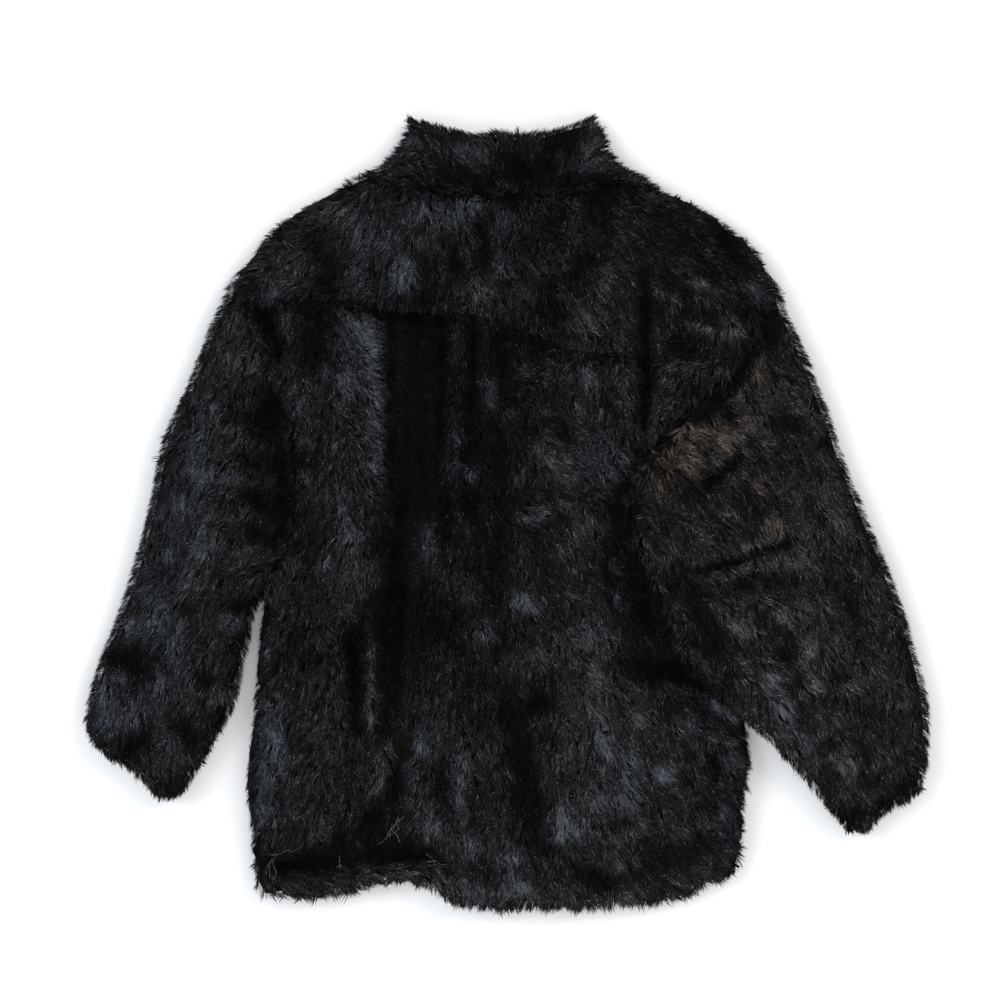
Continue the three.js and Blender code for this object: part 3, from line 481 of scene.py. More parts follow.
def fibre_group():
    """A fibre's colour runs from deep black to its cool or warm painted sheen, with painted glints, and it is
    glossier where the sheen is painted.
    """
    group = bpy.data.node_groups.new("Fibre", "ShaderNodeTree")
    for name in ("Deep", "Cool", "Warm"):
        group.interface.new_socket(name=name, in_out="INPUT", socket_type="NodeSocketColor")
    group.interface.new_socket(name="Color", in_out="OUTPUT", socket_type="NodeSocketColor")
    group.interface.new_socket(name="Roughness", in_out="OUTPUT", socket_type="NodeSocketFloat")
    colours = add_node(group, "NodeGroupInput").outputs
    read_shine = add_node(group, "ShaderNodeAttribute", attribute_name="shine").outputs["Fac"]
    warmth = add_node(group, "ShaderNodeAttribute", attribute_name="warmth").outputs["Fac"]
    place = add_node(group, "ShaderNodeTexCoord").outputs["Object"]
    noise = {"Vector": place, "Scale": GLINT_FINENESS, "Detail": 0}
    glints = add_node(group, "ShaderNodeTexNoise", noise).outputs["Fac"]
    low, high = GLINT_RARITY
    rare = add_node(group, "ShaderNodeMapRange", {"Value": glints, "From Min": low, "From Max": high})
    rarer = worked_out(group, "POWER", rare.outputs["Result"], 2)
    stronger = worked_out(group, "MULTIPLY_ADD", rarer, GLINT_STRENGTH, NO_GLINT)
    least = worked_out(group, "ADD", read_shine, LEAST_SHINE)
    shine = worked_out(group, "MULTIPLY", least, stronger, clamp=True)
    bright = mixed(group, warmth, colours["Cool"], colours["Warm"])
    gloss = {"Value": shine, "From Max": SHINY, "To Min": DULL, "To Max": GLOSSY}
    rough = add_node(group, "ShaderNodeMapRange", gloss).outputs["Result"]
    colour = mixed(group, shine, colours["Deep"], bright)
    add_node(group, "NodeGroupOutput", {"Color": colour, "Roughness": rough})
    return group


fibre = fibre_group()


def new_material(name, settings):
    """A material and its shader, with values set on the shader's own sockets."""
    material = bpy.data.materials.new(name)
    material.use_nodes = True
    shader = material.node_tree.nodes["Principled BSDF"]
    for socket, value in settings.items():
        shader.inputs[socket].default_value = value
    return material, shader


def pile_material(name, deep, cool, warm):
    material, shader = new_material(name, {"Specular IOR Level": 0.06})
    tree = material.node_tree
    look = add_node(tree, "ShaderNodeGroup", node_tree=fibre)
    look.inputs["Deep"].default_value = (*deep, 1)
    look.inputs["Cool"].default_value = (*cool, 1)
    look.inputs["Warm"].default_value = (*warm, 1)
    tree.links.new(look.outputs["Color"], shader.inputs["Base Color"])
    tree.links.new(look.outputs["Roughness"], shader.inputs["Roughness"])
    return material


def backing_material(name, colour):
    """A fine knitted backing, with a little of its loops showing as bumps, and painted shade between the
    loops.
    """
    material, shader = new_material(name, {"Roughness": 0.9, "Specular IOR Level": 0.1})
    tree = material.node_tree
    place = add_node(tree, "ShaderNodeTexCoord").outputs["Object"]
    loops = add_node(tree, "ShaderNodeTexVoronoi", {"Vector": place, "Scale": 600}).outputs["Distance"]
    shade = mixed(tree, loops, (*colour, 1), (*(0.4 * c for c in colour), 1))
    raised = {"Strength": 0.3, "Distance": 0.3 * mm, "Height": loops}
    bump = add_node(tree, "ShaderNodeBump", raised).outputs["Normal"]
    tree.links.new(shade, shader.inputs["Base Color"])
    tree.links.new(bump, shader.inputs["Normal"])
    return material


black_backing = backing_material("black_backing", (0.0035, 0.0035, 0.004))
BLACK = (0.0006, 0.0006, 0.0009)
# The pile's own deep black, and the colours of its painted sheen: cool for the window light, warm for the
# lamp
black_pile = pile_material("black_pile", BLACK, cool=(0.17, 0.195, 0.235), warm=(0.235, 0.205, 0.18))


def finish_with(piece, material):
    piece.data.materials.clear()
    piece.data.materials.append(material)
    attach(piece, "root")


def furred(node, pile_share, layers, comb, painted_light, material, slot, seed, creases=(), **cut):
    """A whole piece of the coat: its backing and the layers of its pile. The size it was cut to is given but
    not used.
    """
    backing, growing = cloth(node, f"{node}_cloth", pile_share, creases)
    finish_with(backing, black_backing)
    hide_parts(node)
    for number, layer in enumerate(layers):
        fur = pile(f"{node}_{layer['name']}", growing, layer, comb, painted_light, seed + 10 * number)
        finish_with(fur, material)


FRONTS = [
    {"node": "front_left", "flat": (0.33, 0.84), "area": 0.216, "seed": 1100},
    {"node": "front_right", "flat": (0.33, 0.84), "area": 0.216, "seed": 1200},
]
PRESSED = 0.6  # the pile's share of the thickness of the fronts
CRUSHED = [
    {
        "name": "pile", "clumps": 1150, "fibres": 9, "length": 17, "standing": 0.95, "ragged": 0.4,
        "spread": 4.5, "thick": 1.1, "sheen": 0.35, "glint": 0.4,
    },
]
HEM_CORNER = [stroke((-286, -444), 20, 60)]
for front in FRONTS:
    furred(
        front["node"], PRESSED, CRUSHED, comb=HEM_CORNER, painted_light=[], material=black_pile, slot="black_pile",
        seed=front["seed"], flat=front["flat"], area=front["area"], rests_on=["floor"],
    )

# ---------- Lower back ----------
# The lower back hangs in gathers from the yoke seam and ends in a turned up hem, stitched all round.
# Its pile is combed down. It is parted by the deep fold left of the middle and by the hem's stitching.

STANDING = 0.35  # the pile's share of the thickness of the upper layer


def layers(under, *long):
    """Short dull fibres that stand every way, and then long ones that lie as they are combed."""
    rows = [{
        "name": "underpile", "clumps": under, "fibres": 10, "length": 12, "standing": 0.78, "ragged": 0.5,
        "spread": 4.5, "thick": 1.0, "sheen": 1, "glint": 0.3,
    }]
    for number, clumps in enumerate(long):
        rows.append({
            "name": f"pile_{number + 1}", "clumps": clumps, "fibres": 8, "length": 17, "standing": 1,
            "ragged": 0.06, "spread": 2.6, "thick": 0.62, "sheen": 1, "glint": 0.42,
        })
    return rows


def crease(start, end, width, depth):
    """A crease pressed into the cloth."""
    return {"start": start, "end": end, "width": width, "depth": depth}


def run(start, end, width, shine, warm=0):
    """A run of painted light on the pile: what it adds to the pile's shine, as painted sheen where the pile
    is lit and painted shade where it lies in shade, and to the warmth of that painted sheen.
    """
    return {"start": start, "end": end, "width": width, "shine": shine, "warm": warm}


def spot(place, width, shine, warm=0):
    return run(place, place, width, shine, warm)


BACK_CREASES = [
    crease((-140, 226), (-138, 60), 7, 2), crease((-75, 222), (-74, -20), 7, 3),
    crease((-44, 222), (-43, 10), 7, 3), crease((-10, 216), (-8, -45), 7, 3),
    crease((26, 200), (27, 40), 7, 3), crease((-62, -60), (-40, -330), 9, 2),
    crease((66, -300), (118, -372), 9, 2.5), crease((200, -250), (214, -380), 9, 2.5),
    crease((-258, -120), (-262, -370), 10, 2), crease((-176, -140), (-184, -350), 8, 2.5),
]
BACK_COMB = [
    *HEM_CORNER,
    stroke((-150, 212), 27, -4), stroke((-150, 160), 30, -10), stroke((-148, 104), 30, -14),
    stroke((-152, 50), 36, -30), stroke((-186, 130), 30, -50), stroke((-225, 60), 70, -105),
    stroke((-240, -120), 90, -100), stroke((-225, -300), 110, -104), stroke((-165, -150), 50, -70),
    stroke((-60, 120), 70, -86), stroke((-60, -60), 70, -80), stroke((-70, -260), 80, -96),
    stroke((76, 150), 34, -150), stroke((66, 90), 34, -20), stroke((84, 20), 40, -70),
    stroke((30, -60), 50, -60), stroke((100, -120), 70, -62), stroke((40, -260), 60, -100),
    stroke((120, -260), 80, -64), stroke((210, -300), 80, -48), stroke((-275, -425), 26, -30),
    stroke((-220, -425), 44, 14), stroke((-140, -412), 40, 18), stroke((-80, -420), 34, -30),
    stroke((-20, -440), 60, -100), stroke((100, -438), 60, -60), stroke((210, -420), 60, -30),
    stroke((8, 146), 20, 50), stroke((42, 170), 20, 12), stroke((86, 158), 24, -30),
    stroke((106, 126), 22, -72), stroke((64, 106), 18, -12), stroke((60, 58), 26, -60),
    stroke((20, 46), 20, -118), stroke((60, 12), 20, 4), stroke((30, -2), 18, 40),
    stroke((106, 36), 24, -32), stroke((-156, -200), 18, 4), stroke((200, 150), 30, -132),
    stroke((235, 150), 30, -130),
]
# Painted sheen and shade on the back's pile: its lit patches, and the shade of its folds, such as the deep
# fold left of the middle
BACK_PAINTED_LIGHT = [
    run((-112, 225), (-118, 20), 24, -0.95), run((-135, 240), (-136, 25), 5, -0.6),
    run((-121, 238), (-122, 30), 6, 0.45, 0.6), run((-101, 240), (-102, 60), 5, -0.5),
    run((-90, 226), (-91, 140), 5, 0.3, 0.2), run((-77, 240), (-78, 90), 5, -0.5),
    run((-58, 212), (-60, 170), 6, 0.3), run((-39, 225), (-40, 130), 5, -0.5),
    run((-82, 225), (-92, 60), 19, -0.75), run((-125, -5), (-135, -130), 18, -0.9),
    run((-135, -90), (-140, -250), 13, -1), run((-150, -92), (-182, -145), 9, -0.6),
    run((-178, -150), (-172, -245), 9, -0.8), run((-121, -272), (-128, -310), 9, -0.8),
    run((-128, -312), (-158, -350), 11, -0.9), run((-162, -352), (-200, -376), 10, -0.7),
    run((-45, 200), (-35, 20), 26, -0.7), run((-2, 205), (8, 125), 18, -0.6),
    run((22, 180), (55, 195), 15, -0.7), run((20, 60), (12, 20), 14, -0.5),
    run((158, 185), (160, 150), 7, -1.1), run((160, 150), (158, 104), 6, -1),
    run((125, 20), (135, -25), 13, -0.9), run((142, -55), (150, -130), 17, -1, -0.3),
    run((142, -172), (195, -182), 15, -1), run((195, -182), (244, -212), 13, -1),
    run((112, -50), (120, -95), 13, -0.5, -0.5), run((200, -215), (232, -236), 12, -0.3, -0.5),
    run((40, -215), (5, -235), 12, -0.8), run((15, -262), (32, -365), 14, -0.8),
    run((-78, -290), (-75, -335), 10, -0.6), run((-20, -60), (-5, -150), 16, -0.5),
    run((-150, -385), (-100, -390), 13, -0.9), run((-265, -405), (-110, -393), 12, -0.9),
    run((40, -385), (100, -415), 9, -0.4), run((96, -415), (116, -421), 13, -0.6),
    run((168, -396), (212, -394), 11, -0.5), run((236, -290), (230, -332), 9, -0.7),
    run((120, -356), (138, -352), 7, -0.5), run((-215, 228), (-225, 180), 20, -0.8, -0.3),
    run((-250, 98), (-246, 0), 11, -0.7), run((-285, 245), (-262, 190), 11, -1),
    run((-230, -176), (-213, -160), 10, -0.5), run((-270, -182), (-256, -170), 9, -0.4),
    spot((60, 96), 9, -0.6), run((110, 130), (124, 110), 7, -0.6), spot((60, -6), 7, -0.7),
    run((-161, 213), (-158, 165), 10, 1.06, -0.7), run((-150, 142), (-151, 94), 12, 0.79, -0.3),
    run((-148, 75), (-150, 40), 9, 0.6, -0.3), run((-181, 225), (-182, 132), 14, 0.45, -0.3),
    spot((-208, 163), 9, 0.97, -1), run((-188, 150), (-182, 136), 10, 0.7, -0.2),
    run((-258, 230), (-242, 180), 8, 0.3, -0.6), run((-235, 140), (-232, 100), 12, 0.35, -0.4),
    run((-210, 135), (-195, 80), 16, 0.2, 0.6), spot((-233, 85), 8, 0.4),
    run((-225, 35), (-200, 0), 22, 0.2), run((-190, 5), (-185, -30), 13, 0.45, -0.3),
    spot((-178, -32), 10, 0.7, -0.4), spot((-222, -20), 14, -0.3, 0.7),
    run((-212, -62), (-206, -52), 5, 0.79, -0.8), run((-182, -75), (-165, -80), 18, 0.35),
    run((-156, -160), (-156, -182), 6, 1.2, -0.3), run((-157, -185), (-157, -232), 6, 0.8, -0.3),
    run((-156, -236), (-155, -244), 5, 0.8, -0.6), spot((-145, -300), 18, 0.3),
    spot((-150, -316), 8, 0.4, 0.4), spot((-210, -135), 22, 0.1, 0.6),
    run((-230, -215), (-215, -260), 26, 0.15), spot((-215, -368), 10, 0.4),
    run((-276, -225), (-281, -345), 16, 0.7, -1.1), run((-262, -255), (-262, -295), 8, 0.6, -0.8),
    run((-278, -100), (-278, -160), 8, 0.4, -1), spot((-62, 88), 11, 0.7, -0.6),
    run((-68, 58), (-42, 43), 10, 0.7, -0.6), run((-25, 147), (-18, 130), 10, 0.79, -0.5),
    spot((0, 112), 12, 0.79, -0.4), run((-54, 175), (-50, 200), 8, 0.4, -0.4),
    run((33, 75), (10, 35), 9, 0.88, 0.9), run((45, 80), (60, 42), 14, 0.6, 0.6),
    run((75, 60), (80, 35), 11, 0.6, -0.3), run((105, 75), (115, 45), 18, 0.5, -0.6),
    run((90, 162), (104, 136), 7, 0.7, -0.3), spot((107, 115), 8, 0.7, -0.7),
    run((78, 110), (85, 132), 12, 0.35), run((100, 265), (90, 200), 18, 0.4, 0.3),
    run((126, 190), (125, 165), 12, 0.45, -0.5), run((60, 12), (96, -4), 7, 0.5),
    run((90, -12), (62, -45), 10, 0.6), spot((75, -65), 8, 0.97, 0.3), spot((20, -6), 8, 0.88, -0.3),
    spot((40, 0), 8, 0.5, -0.4), spot((22, -107), 14, 1.06, -0.7), run((7, -93), (5, -116), 9, 0.6, -0.6),
    spot((-30, -140), 11, 1.06, -0.8), spot((-45, -95), 14, 0.45),
    run((-90, -15), (-93, -45), 10, 0.7, -0.6), run((-50, -12), (-42, -22), 8, 0.6, 0.2),
    spot((-72, -66), 14, 0.25), spot((125, -95), 8, 0.79, -0.8), spot((122, -60), 6, 0.5, -0.8),
    run((90, -125), (95, -142), 12, 0.5, -0.3), spot((75, -95), 10, 0.5),
    run((82, -150), (95, -215), 24, 0.4, 0.15), spot((35, -160), 12, 0.5, 0.3),
    spot((5, -162), 8, 0.6, -0.3), spot((150, -235), 17, 0.6, 1.1), spot((142, -205), 12, 0.1, 0.7),
    run((-102, -255), (-100, -268), 9, 0.97, -0.7), run((-110, -285), (-110, -330), 9, 0.7, -0.6),
    spot((-85, -358), 14, 0.7, -0.5), run((-50, -285), (-55, -325), 8, 0.79, -0.7),
    run((-55, -325), (-48, -346), 8, 0.7, -0.7), run((108, -253), (112, -272), 9, 1.06, -0.6),
    run((141, -285), (136, -328), 15, 0.79, -0.6), spot((175, -297), 10, 1.32, -0.8),
    spot((105, -330), 16, 0.6, -0.3), run((60, -370), (62, -342), 9, 0.97, -0.6),
    spot((80, -360), 12, 0.7, -0.3), run((70, -255), (66, -285), 10, 0.5), spot((208, -240), 9, 0.5, -0.5),
    spot((248, -282), 8, 0.7, -0.7), spot((236, -312), 6, 0.7, -0.5),
    run((240, -220), (262, -234), 9, 0.79, -1), run((120, -376), (150, -365), 12, 0.3),
    spot((150, -410), 10, -0.4, 0.5), spot((8, -390), 8, 0.88, -0.6),
    run((-35, -375), (-50, -396), 14, 0.4, -0.4), run((0, -405), (15, -425), 15, 0.7, -0.6),
    run((-45, -440), (-28, -442), 9, 0.5, -0.6), run((250, -340), (255, -388), 12, 0.1, -0.6),
    run((-262, -434), (-230, -437), 7, 0.3, -0.3), run((190, 170), (222, 170), 7, 0.7, 0.6),
    run((238, 190), (240, 166), 8, 0.4, 0.5), spot((-85, -125), 28, -0.7),
    run((-95, 20), (-35, -28), 24, -0.5), run((-70, 60), (-60, -190), 45, -0.25),
    spot((-10, -230), 18, -0.35), run((0, 95), (12, 50), 22, -0.35), spot((-158, -366), 16, -0.7),
    run((-285, -378), (-185, -384), 12, -0.35), spot((-150, -345), 9, -0.3),
    run((-140, 236), (-70, 231), 9, -0.4), spot((18, 170), 12, 0.4), run((122, 22), (150, -88), 9, 0.45),
    run((112, -165), (92, -350), 34, 0.3), spot((192, -300), 30, 0.4), spot((140, -262), 20, 0.2),
    run((-180, -405), (-100, -402), 10, 0.45), run((-100, -415), (120, -440), 14, 0.35),
    spot((-45, -275), 18, 0.3), spot((-120, -355), 10, 0.4), run((-250, -275), (-246, -340), 12, 0.25),
    run((-190, -180), (-186, -330), 11, 0.2), run((-166, -130), (-160, -200), 12, -0.25),
    spot((-145, -35), 14, -0.4), spot((-235, -130), 20, -0.2), spot((195, -215), 15, -0.2),
    run((145, -148), (200, -152), 14, -0.3), spot((114, -28), 12, -0.3),
    run((140, -435), (200, -430), 12, 0.3), run((-85, -230), (-78, -270), 16, 0.25),
    spot((-135, -255), 12, 0.35), run((-20, -120), (5, -180), 13, 0.35), spot((-40, 45), 12, 0.45),
    spot((-55, -5), 10, 0.35), run((10, 150), (28, 190), 12, 0.25), run((-110, 110), (-105, 20), 18, -0.25),
    run((-165, 170), (-150, 160), 10, -0.3), run((-150, 80), (-120, 60), 14, -0.3),
    spot((-190, 140), 14, -0.2), spot((-120, -160), 14, -0.3), spot((-165, -175), 12, -0.25),
    run((-45, -330), (-55, -345), 12, -0.3), run((5, -310), (10, -330), 12, -0.3),
    run((35, -190), (30, -215), 10, -0.4), spot((15, -125), 14, -0.3),
    run((110, -10), (125, -40), 11, -0.3), spot((90, 85), 12, 0.3), run((165, 120), (168, 60), 7, 0.4),
    spot((245, -280), 10, -0.3), run((85, -320), (100, -370), 15, 0.3),
    run((190, -250), (180, -300), 25, 0.2), run((195, -196), (262, -232), 8, 0.55),
    run((-283, -185), (-280, -160), 6, 0.5), run((-185, -110), (-140, -90), 14, 0.3),
    run((110, 200), (105, 150), 14, -0.25), spot((45, 215), 12, -0.35), run((60, 188), (150, 184), 7, 0.3),
    run((176, 186), (262, 182), 7, 0.3), run((-210, 232), (-180, 228), 10, 0.3), spot((-240, 60), 11, -0.3),
    run((-250, -38), (-270, -50), 10, -0.4), run((40, -70), (10, 0), 18, -0.2), spot((150, -120), 14, -0.3),
    run((-160, 232), (-112, 222), 10, -0.5), spot((-138, -368), 12, -0.8), spot((-288, -394), 12, -0.6),
    spot((-240, -434), 13, -0.35), spot((-95, -408), 11, -0.4), spot((-155, -172), 14, -0.35),
    spot((218, 140), 15, -0.6), spot((190, 122), 14, -0.3), spot((130, 88), 11, -0.3),
    run((50, 215), (20, 230), 11, -0.3), spot((45, 95), 14, -0.2), spot((175, -192), 13, -0.2),
    spot((-10, -212), 13, -0.25), spot((28, 40), 12, 0.35), spot((-36, 150), 8, 0.35),
    spot((-36, 70), 8, 0.3), spot((-125, -240), 13, 0.35), spot((-132, -134), 6, 0.5),
    spot((-85, -335), 10, 0.3), spot((-175, -354), 10, 0.35), spot((38, -365), 12, 0.35),
    run((130, -5), (156, -72), 7, 0.3), run((-110, 100), (-100, 20), 14, -0.2), spot((-150, -40), 12, -0.2),
    spot((-195, -5), 13, -0.15), spot((-243, -38), 9, -0.3), spot((142, -262), 13, 0.25),
    run((268, -260), (266, -290), 6, 0.4), run((262, -370), (266, -390), 7, 0.3),
    run((-150, 225), (-80, 222), 12, -0.35), spot((-95, 185), 12, -0.3),
    run((-180, 135), (-155, 108), 12, -0.3), spot((-228, 60), 11, -0.25), spot((-108, 25), 9, -0.25),
    spot((-45, 155), 10, 0.35), run((-40, 100), (-40, 20), 8, 0.25), run((-35, 216), (0, 204), 8, 0.3),
    spot((5, 120), 8, 0.25), spot((50, 205), 13, -0.3), spot((112, 212), 13, -0.35),
    run((30, 85), (55, 70), 11, -0.25), run((70, 50), (130, 55), 11, -0.25), spot((133, 95), 9, -0.25),
    spot((95, -5), 11, -0.4), spot((-185, -25), 16, -0.2), spot((-130, -5), 8, 0.3),
    spot((-132, -75), 8, 0.35), spot((-133, -130), 8, 0.55), spot((-155, -180), 10, -0.35),
    spot((-112, -222), 10, 0.35), run((-122, -270), (-122, -310), 9, 0.35), spot((-165, -352), 9, 0.35),
    spot((-140, -375), 9, -0.25), spot((-185, -380), 9, -0.2), spot((-218, -265), 13, -0.25),
    spot((-235, -365), 16, -0.2), run((-250, -150), (-225, -135), 12, -0.2), spot((-215, -85), 14, 0.2),
    spot((-272, -185), 7, 0.4), spot((-274, -100), 7, 0.3), spot((-212, -418), 10, -0.3),
    spot((-105, -420), 10, -0.3), spot((38, -362), 9, 0.35), spot((-30, -285), 15, 0.2),
    spot((20, -250), 8, 0.2), spot((65, -235), 9, 0.3), spot((90, -80), 13, 0.25),
    spot((85, -160), 13, -0.2), spot((110, -300), 10, 0.25), spot((170, -380), 9, 0.35),
    spot((222, -400), 11, 0.3), spot((180, -420), 11, -0.35), spot((230, -280), 10, -0.35),
    spot((245, -355), 9, -0.25), run((200, -190), (245, -225), 7, 0.4), spot((180, -225), 11, -0.25),
    spot((155, -190), 8, -0.2), spot((200, -330), 12, 0.2), spot((-55, -320), 11, -0.2),
    spot((-75, -225), 11, -0.2), spot((15, -115), 13, -0.2), spot((-40, -60), 8, -0.2),
    spot((30, -150), 9, -0.2), run((-284, -225), (-286, -350), 13, -0.22),
]
furred(
    "back", STANDING, layers(5200, 9200, 9200), BACK_COMB, BACK_PAINTED_LIGHT, black_pile, "black_pile", seed=2000,
    creases=BACK_CREASES, flat=(0.72, 0.74), area=0.44, rests_on=["front_left_cloth", "front_right_cloth"],
)

# ---------- Yoke ----------
# The yoke crosses the back from shoulder to shoulder and overhangs the gathers that are sewn to it.
# Its pile is combed down and out to the shoulders.

YOKE_CREASES = [
    crease((-150, 262), (-110, 330), 9, 2), crease((40, 235), (66, 318), 9, 2),
    crease((200, 250), (236, 318), 9, 2.5),
]
YOKE_COMB = [
    stroke((-270, 300), 70, -150), stroke((-180, 320), 60, -125), stroke((-110, 330), 50, -85),
    stroke((-20, 300), 50, -90), stroke((70, 280), 60, -60), stroke((150, 320), 60, -40),
    stroke((260, 270), 70, -45), stroke((225, 205), 36, -125), stroke((215, 350), 34, 5),
    stroke((275, 295), 30, -15), stroke((-230, 350), 30, 150),
]
# Painted sheen and shade on the yoke's pile
YOKE_PAINTED_LIGHT = [
    run((-175, 335), (-150, 310), 20, 0.4, -0.3), run((-95, 350), (-55, 342), 19, 0.6, -0.5),
    run((-50, 353), (-18, 361), 10, 0.6, -0.7), run((-117, 283), (-120, 256), 14, 1.06, -0.9),
    run((-135, 320), (-138, 262), 15, 0.4, -0.4), run((-172, 320), (-175, 262), 13, 0.4, -0.4),
    run((-155, 300), (-152, 275), 8, -0.5), run((-94, 290), (-92, 262), 12, -0.4),
    run((-65, 310), (-62, 285), 9, -0.7), run((-32, 335), (-28, 285), 11, -0.8),
    run((-2, 335), (-10, 280), 13, 0.6, -0.5), run((-35, 262), (-30, 248), 16, 0.7, 0.1),
    run((-215, 345), (-185, 345), 10, 0.35, 0.2), run((-248, 288), (-252, 265), 15, 0.35, -0.1),
    spot((-265, 253), 11, 0.5, -0.8), run((-225, 312), (-200, 280), 18, -0.6, 0.1),
    spot((-208, 262), 14, -0.5, 0.2), run((-75, 372), (5, 362), 10, -0.8),
    run((10, 360), (50, 330), 16, -0.4), run((50, 320), (58, 300), 12, -0.3),
    run((110, 362), (250, 312), 24, -0.6), run((90, 340), (110, 320), 14, -0.4),
    run((75, 330), (70, 300), 12, 0.25), run((236, 325), (270, 282), 13, -0.5),
    run((153, 270), (157, 240), 7, -0.8), run((157, 240), (157, 188), 6, -1.1),
    run((45, 258), (50, 225), 16, -0.35, 0.5), spot((28, 248), 10, 0.35, 0.3), spot((90, 290), 13, -0.8),
    run((105, 265), (92, 215), 18, 0.5, 0.3), run((195, 282), (222, 264), 12, 0.45, 0.6),
    spot((190, 240), 9, 0.79, 0.5), spot((175, 252), 8, 0.5, 0.6), spot((218, 264), 7, 0.7, 0.4),
    run((175, 235), (205, 228), 9, -0.5, 0.2), run((182, 262), (204, 255), 7, -0.5, 0.2),
    run((226, 242), (222, 226), 12, 0, 0.8), run((246, 222), (275, 216), 8, 0.5, 0.5),
    run((206, 218), (236, 205), 6, 0.88, 0.6), run((250, 205), (266, 206), 6, 0.79, 0.6),
    run((195, 192), (222, 188), 14, -0.8, 0.3), spot((285, 252), 12, 0.3, -0.2), spot((20, 306), 15, -0.35),
    spot((-50, 276), 12, -0.3), spot((80, 272), 16, -0.35), run((110, 392), (280, 312), 13, 0.35),
    run((-255, 338), (-190, 370), 11, 0.35), run((272, 195), (286, 235), 14, -0.4),
    run((190, 302), (230, 282), 18, -0.2), spot((-250, 214), 12, -0.3),
    run((-110, 330), (-80, 300), 14, 0.3), spot((-170, 338), 14, -0.3), spot((-5, 310), 12, -0.3),
    run((60, 290), (45, 280), 12, 0.3), run((225, 340), (230, 300), 13, 0.35),
    run((140, 342), (180, 330), 16, 0.2), run((100, 385), (130, 388), 13, 0.3),
    run((-225, 300), (-220, 285), 12, 0.3), spot((-30, 355), 12, 0.4), spot((30, 352), 14, 0.35),
    run((190, 290), (265, 270), 16, -0.2), spot((90, 262), 14, -0.25),
    run((200, 230), (270, 235), 16, -0.25), run((-130, 245), (-70, 250), 9, -0.35),
    run((-300, 250), (-280, 258), 10, -0.3), spot((230, 186), 12, 0.4), spot((122, 388), 14, 0.4),
    spot((-288, 290), 14, 0.35), run((-55, 240), (-40, 232), 9, -0.2),
    run((150, 285), (180, 270), 13, -0.25), run((105, 240), (60, 240), 16, -0.15),
    spot((-188, 252), 9, -0.3), spot((268, 312), 10, 0.3), spot((-200, 362), 8, 0.3),
    spot((-35, 362), 9, 0.25), run((-140, 262), (-95, 240), 14, -0.35), spot((-88, 252), 7, 0.4),
    spot((-55, 270), 9, -0.3), run((0, 330), (5, 295), 13, -0.25), spot((-175, 325), 14, -0.2),
    spot((-90, 320), 8, -0.25), spot((-62, 312), 7, 0.3), spot((72, 275), 9, -0.3),
    spot((120, 312), 9, 0.25), spot((-40, 375), 11, 0.25), spot((65, 345), 9, -0.25),
    spot((-210, 280), 10, 0.2), run((30, 235), (60, 225), 10, -0.25), spot((225, 268), 9, -0.25),
    spot((170, 318), 10, -0.2),
]
furred(
    "yoke", STANDING, layers(1600, 5000), YOKE_COMB, YOKE_PAINTED_LIGHT, black_pile, "black_pile", seed=3000,
    creases=YOKE_CREASES, flat=(0.62, 0.21), area=0.105, rests_on=["front_left_cloth", "front_right_cloth"],
)

# ---------- Sleeves ----------
# Each sleeve is a tube with one seam, set into the armhole and hemmed at the cuff. The left one lies free.
# The right one is twisted over the side of the back, so its pile turns to another side; its warmer shine is a
# painted sheen, for the warm light on that side.

# The right sleeve's pile: the same black, with a warmer painted sheen for the warm lamp light on it
warm_sheen_pile = pile_material("brownish_pile", BLACK, cool=(0.175, 0.19, 0.22), warm=(0.29, 0.225, 0.175))
LEFT_SLEEVE_CREASES = [
    crease((-330, 150), (-362, 60), 9, 2), crease((-300, -60), (-330, -10), 9, 2.5),
]
RIGHT_SLEEVE_CREASES = [
    crease((140, 22), (252, 118), 6, 3), crease((146, 12), (240, 84), 6, 2.5),
    crease((196, -66), (322, -34), 6, 3), crease((262, -146), (310, -122), 7, 3),
]
LEFT_SLEEVE_COMB = [
    stroke((-330, 180), 80, -115), stroke((-380, 30), 80, -105), stroke((-290, 60), 50, -150),
    stroke((-290, -30), 50, -160), stroke((-400, -120), 90, -110), stroke((-340, -160), 60, -120),
    stroke((-420, -270), 80, -90),
]
RIGHT_SLEEVE_COMB = [
    stroke((138, 45), 22, -132), stroke((160, 82), 24, -130), stroke((186, 118), 24, -128),
    stroke((222, 128), 24, -110), stroke((330, 180), 80, -60), stroke((240, 80), 80, -30),
    stroke((180, -20), 60, -60), stroke((300, -60), 90, -64), stroke((400, -60), 80, -68),
    stroke((330, -210), 90, -60), stroke((430, -280), 90, -75),
]
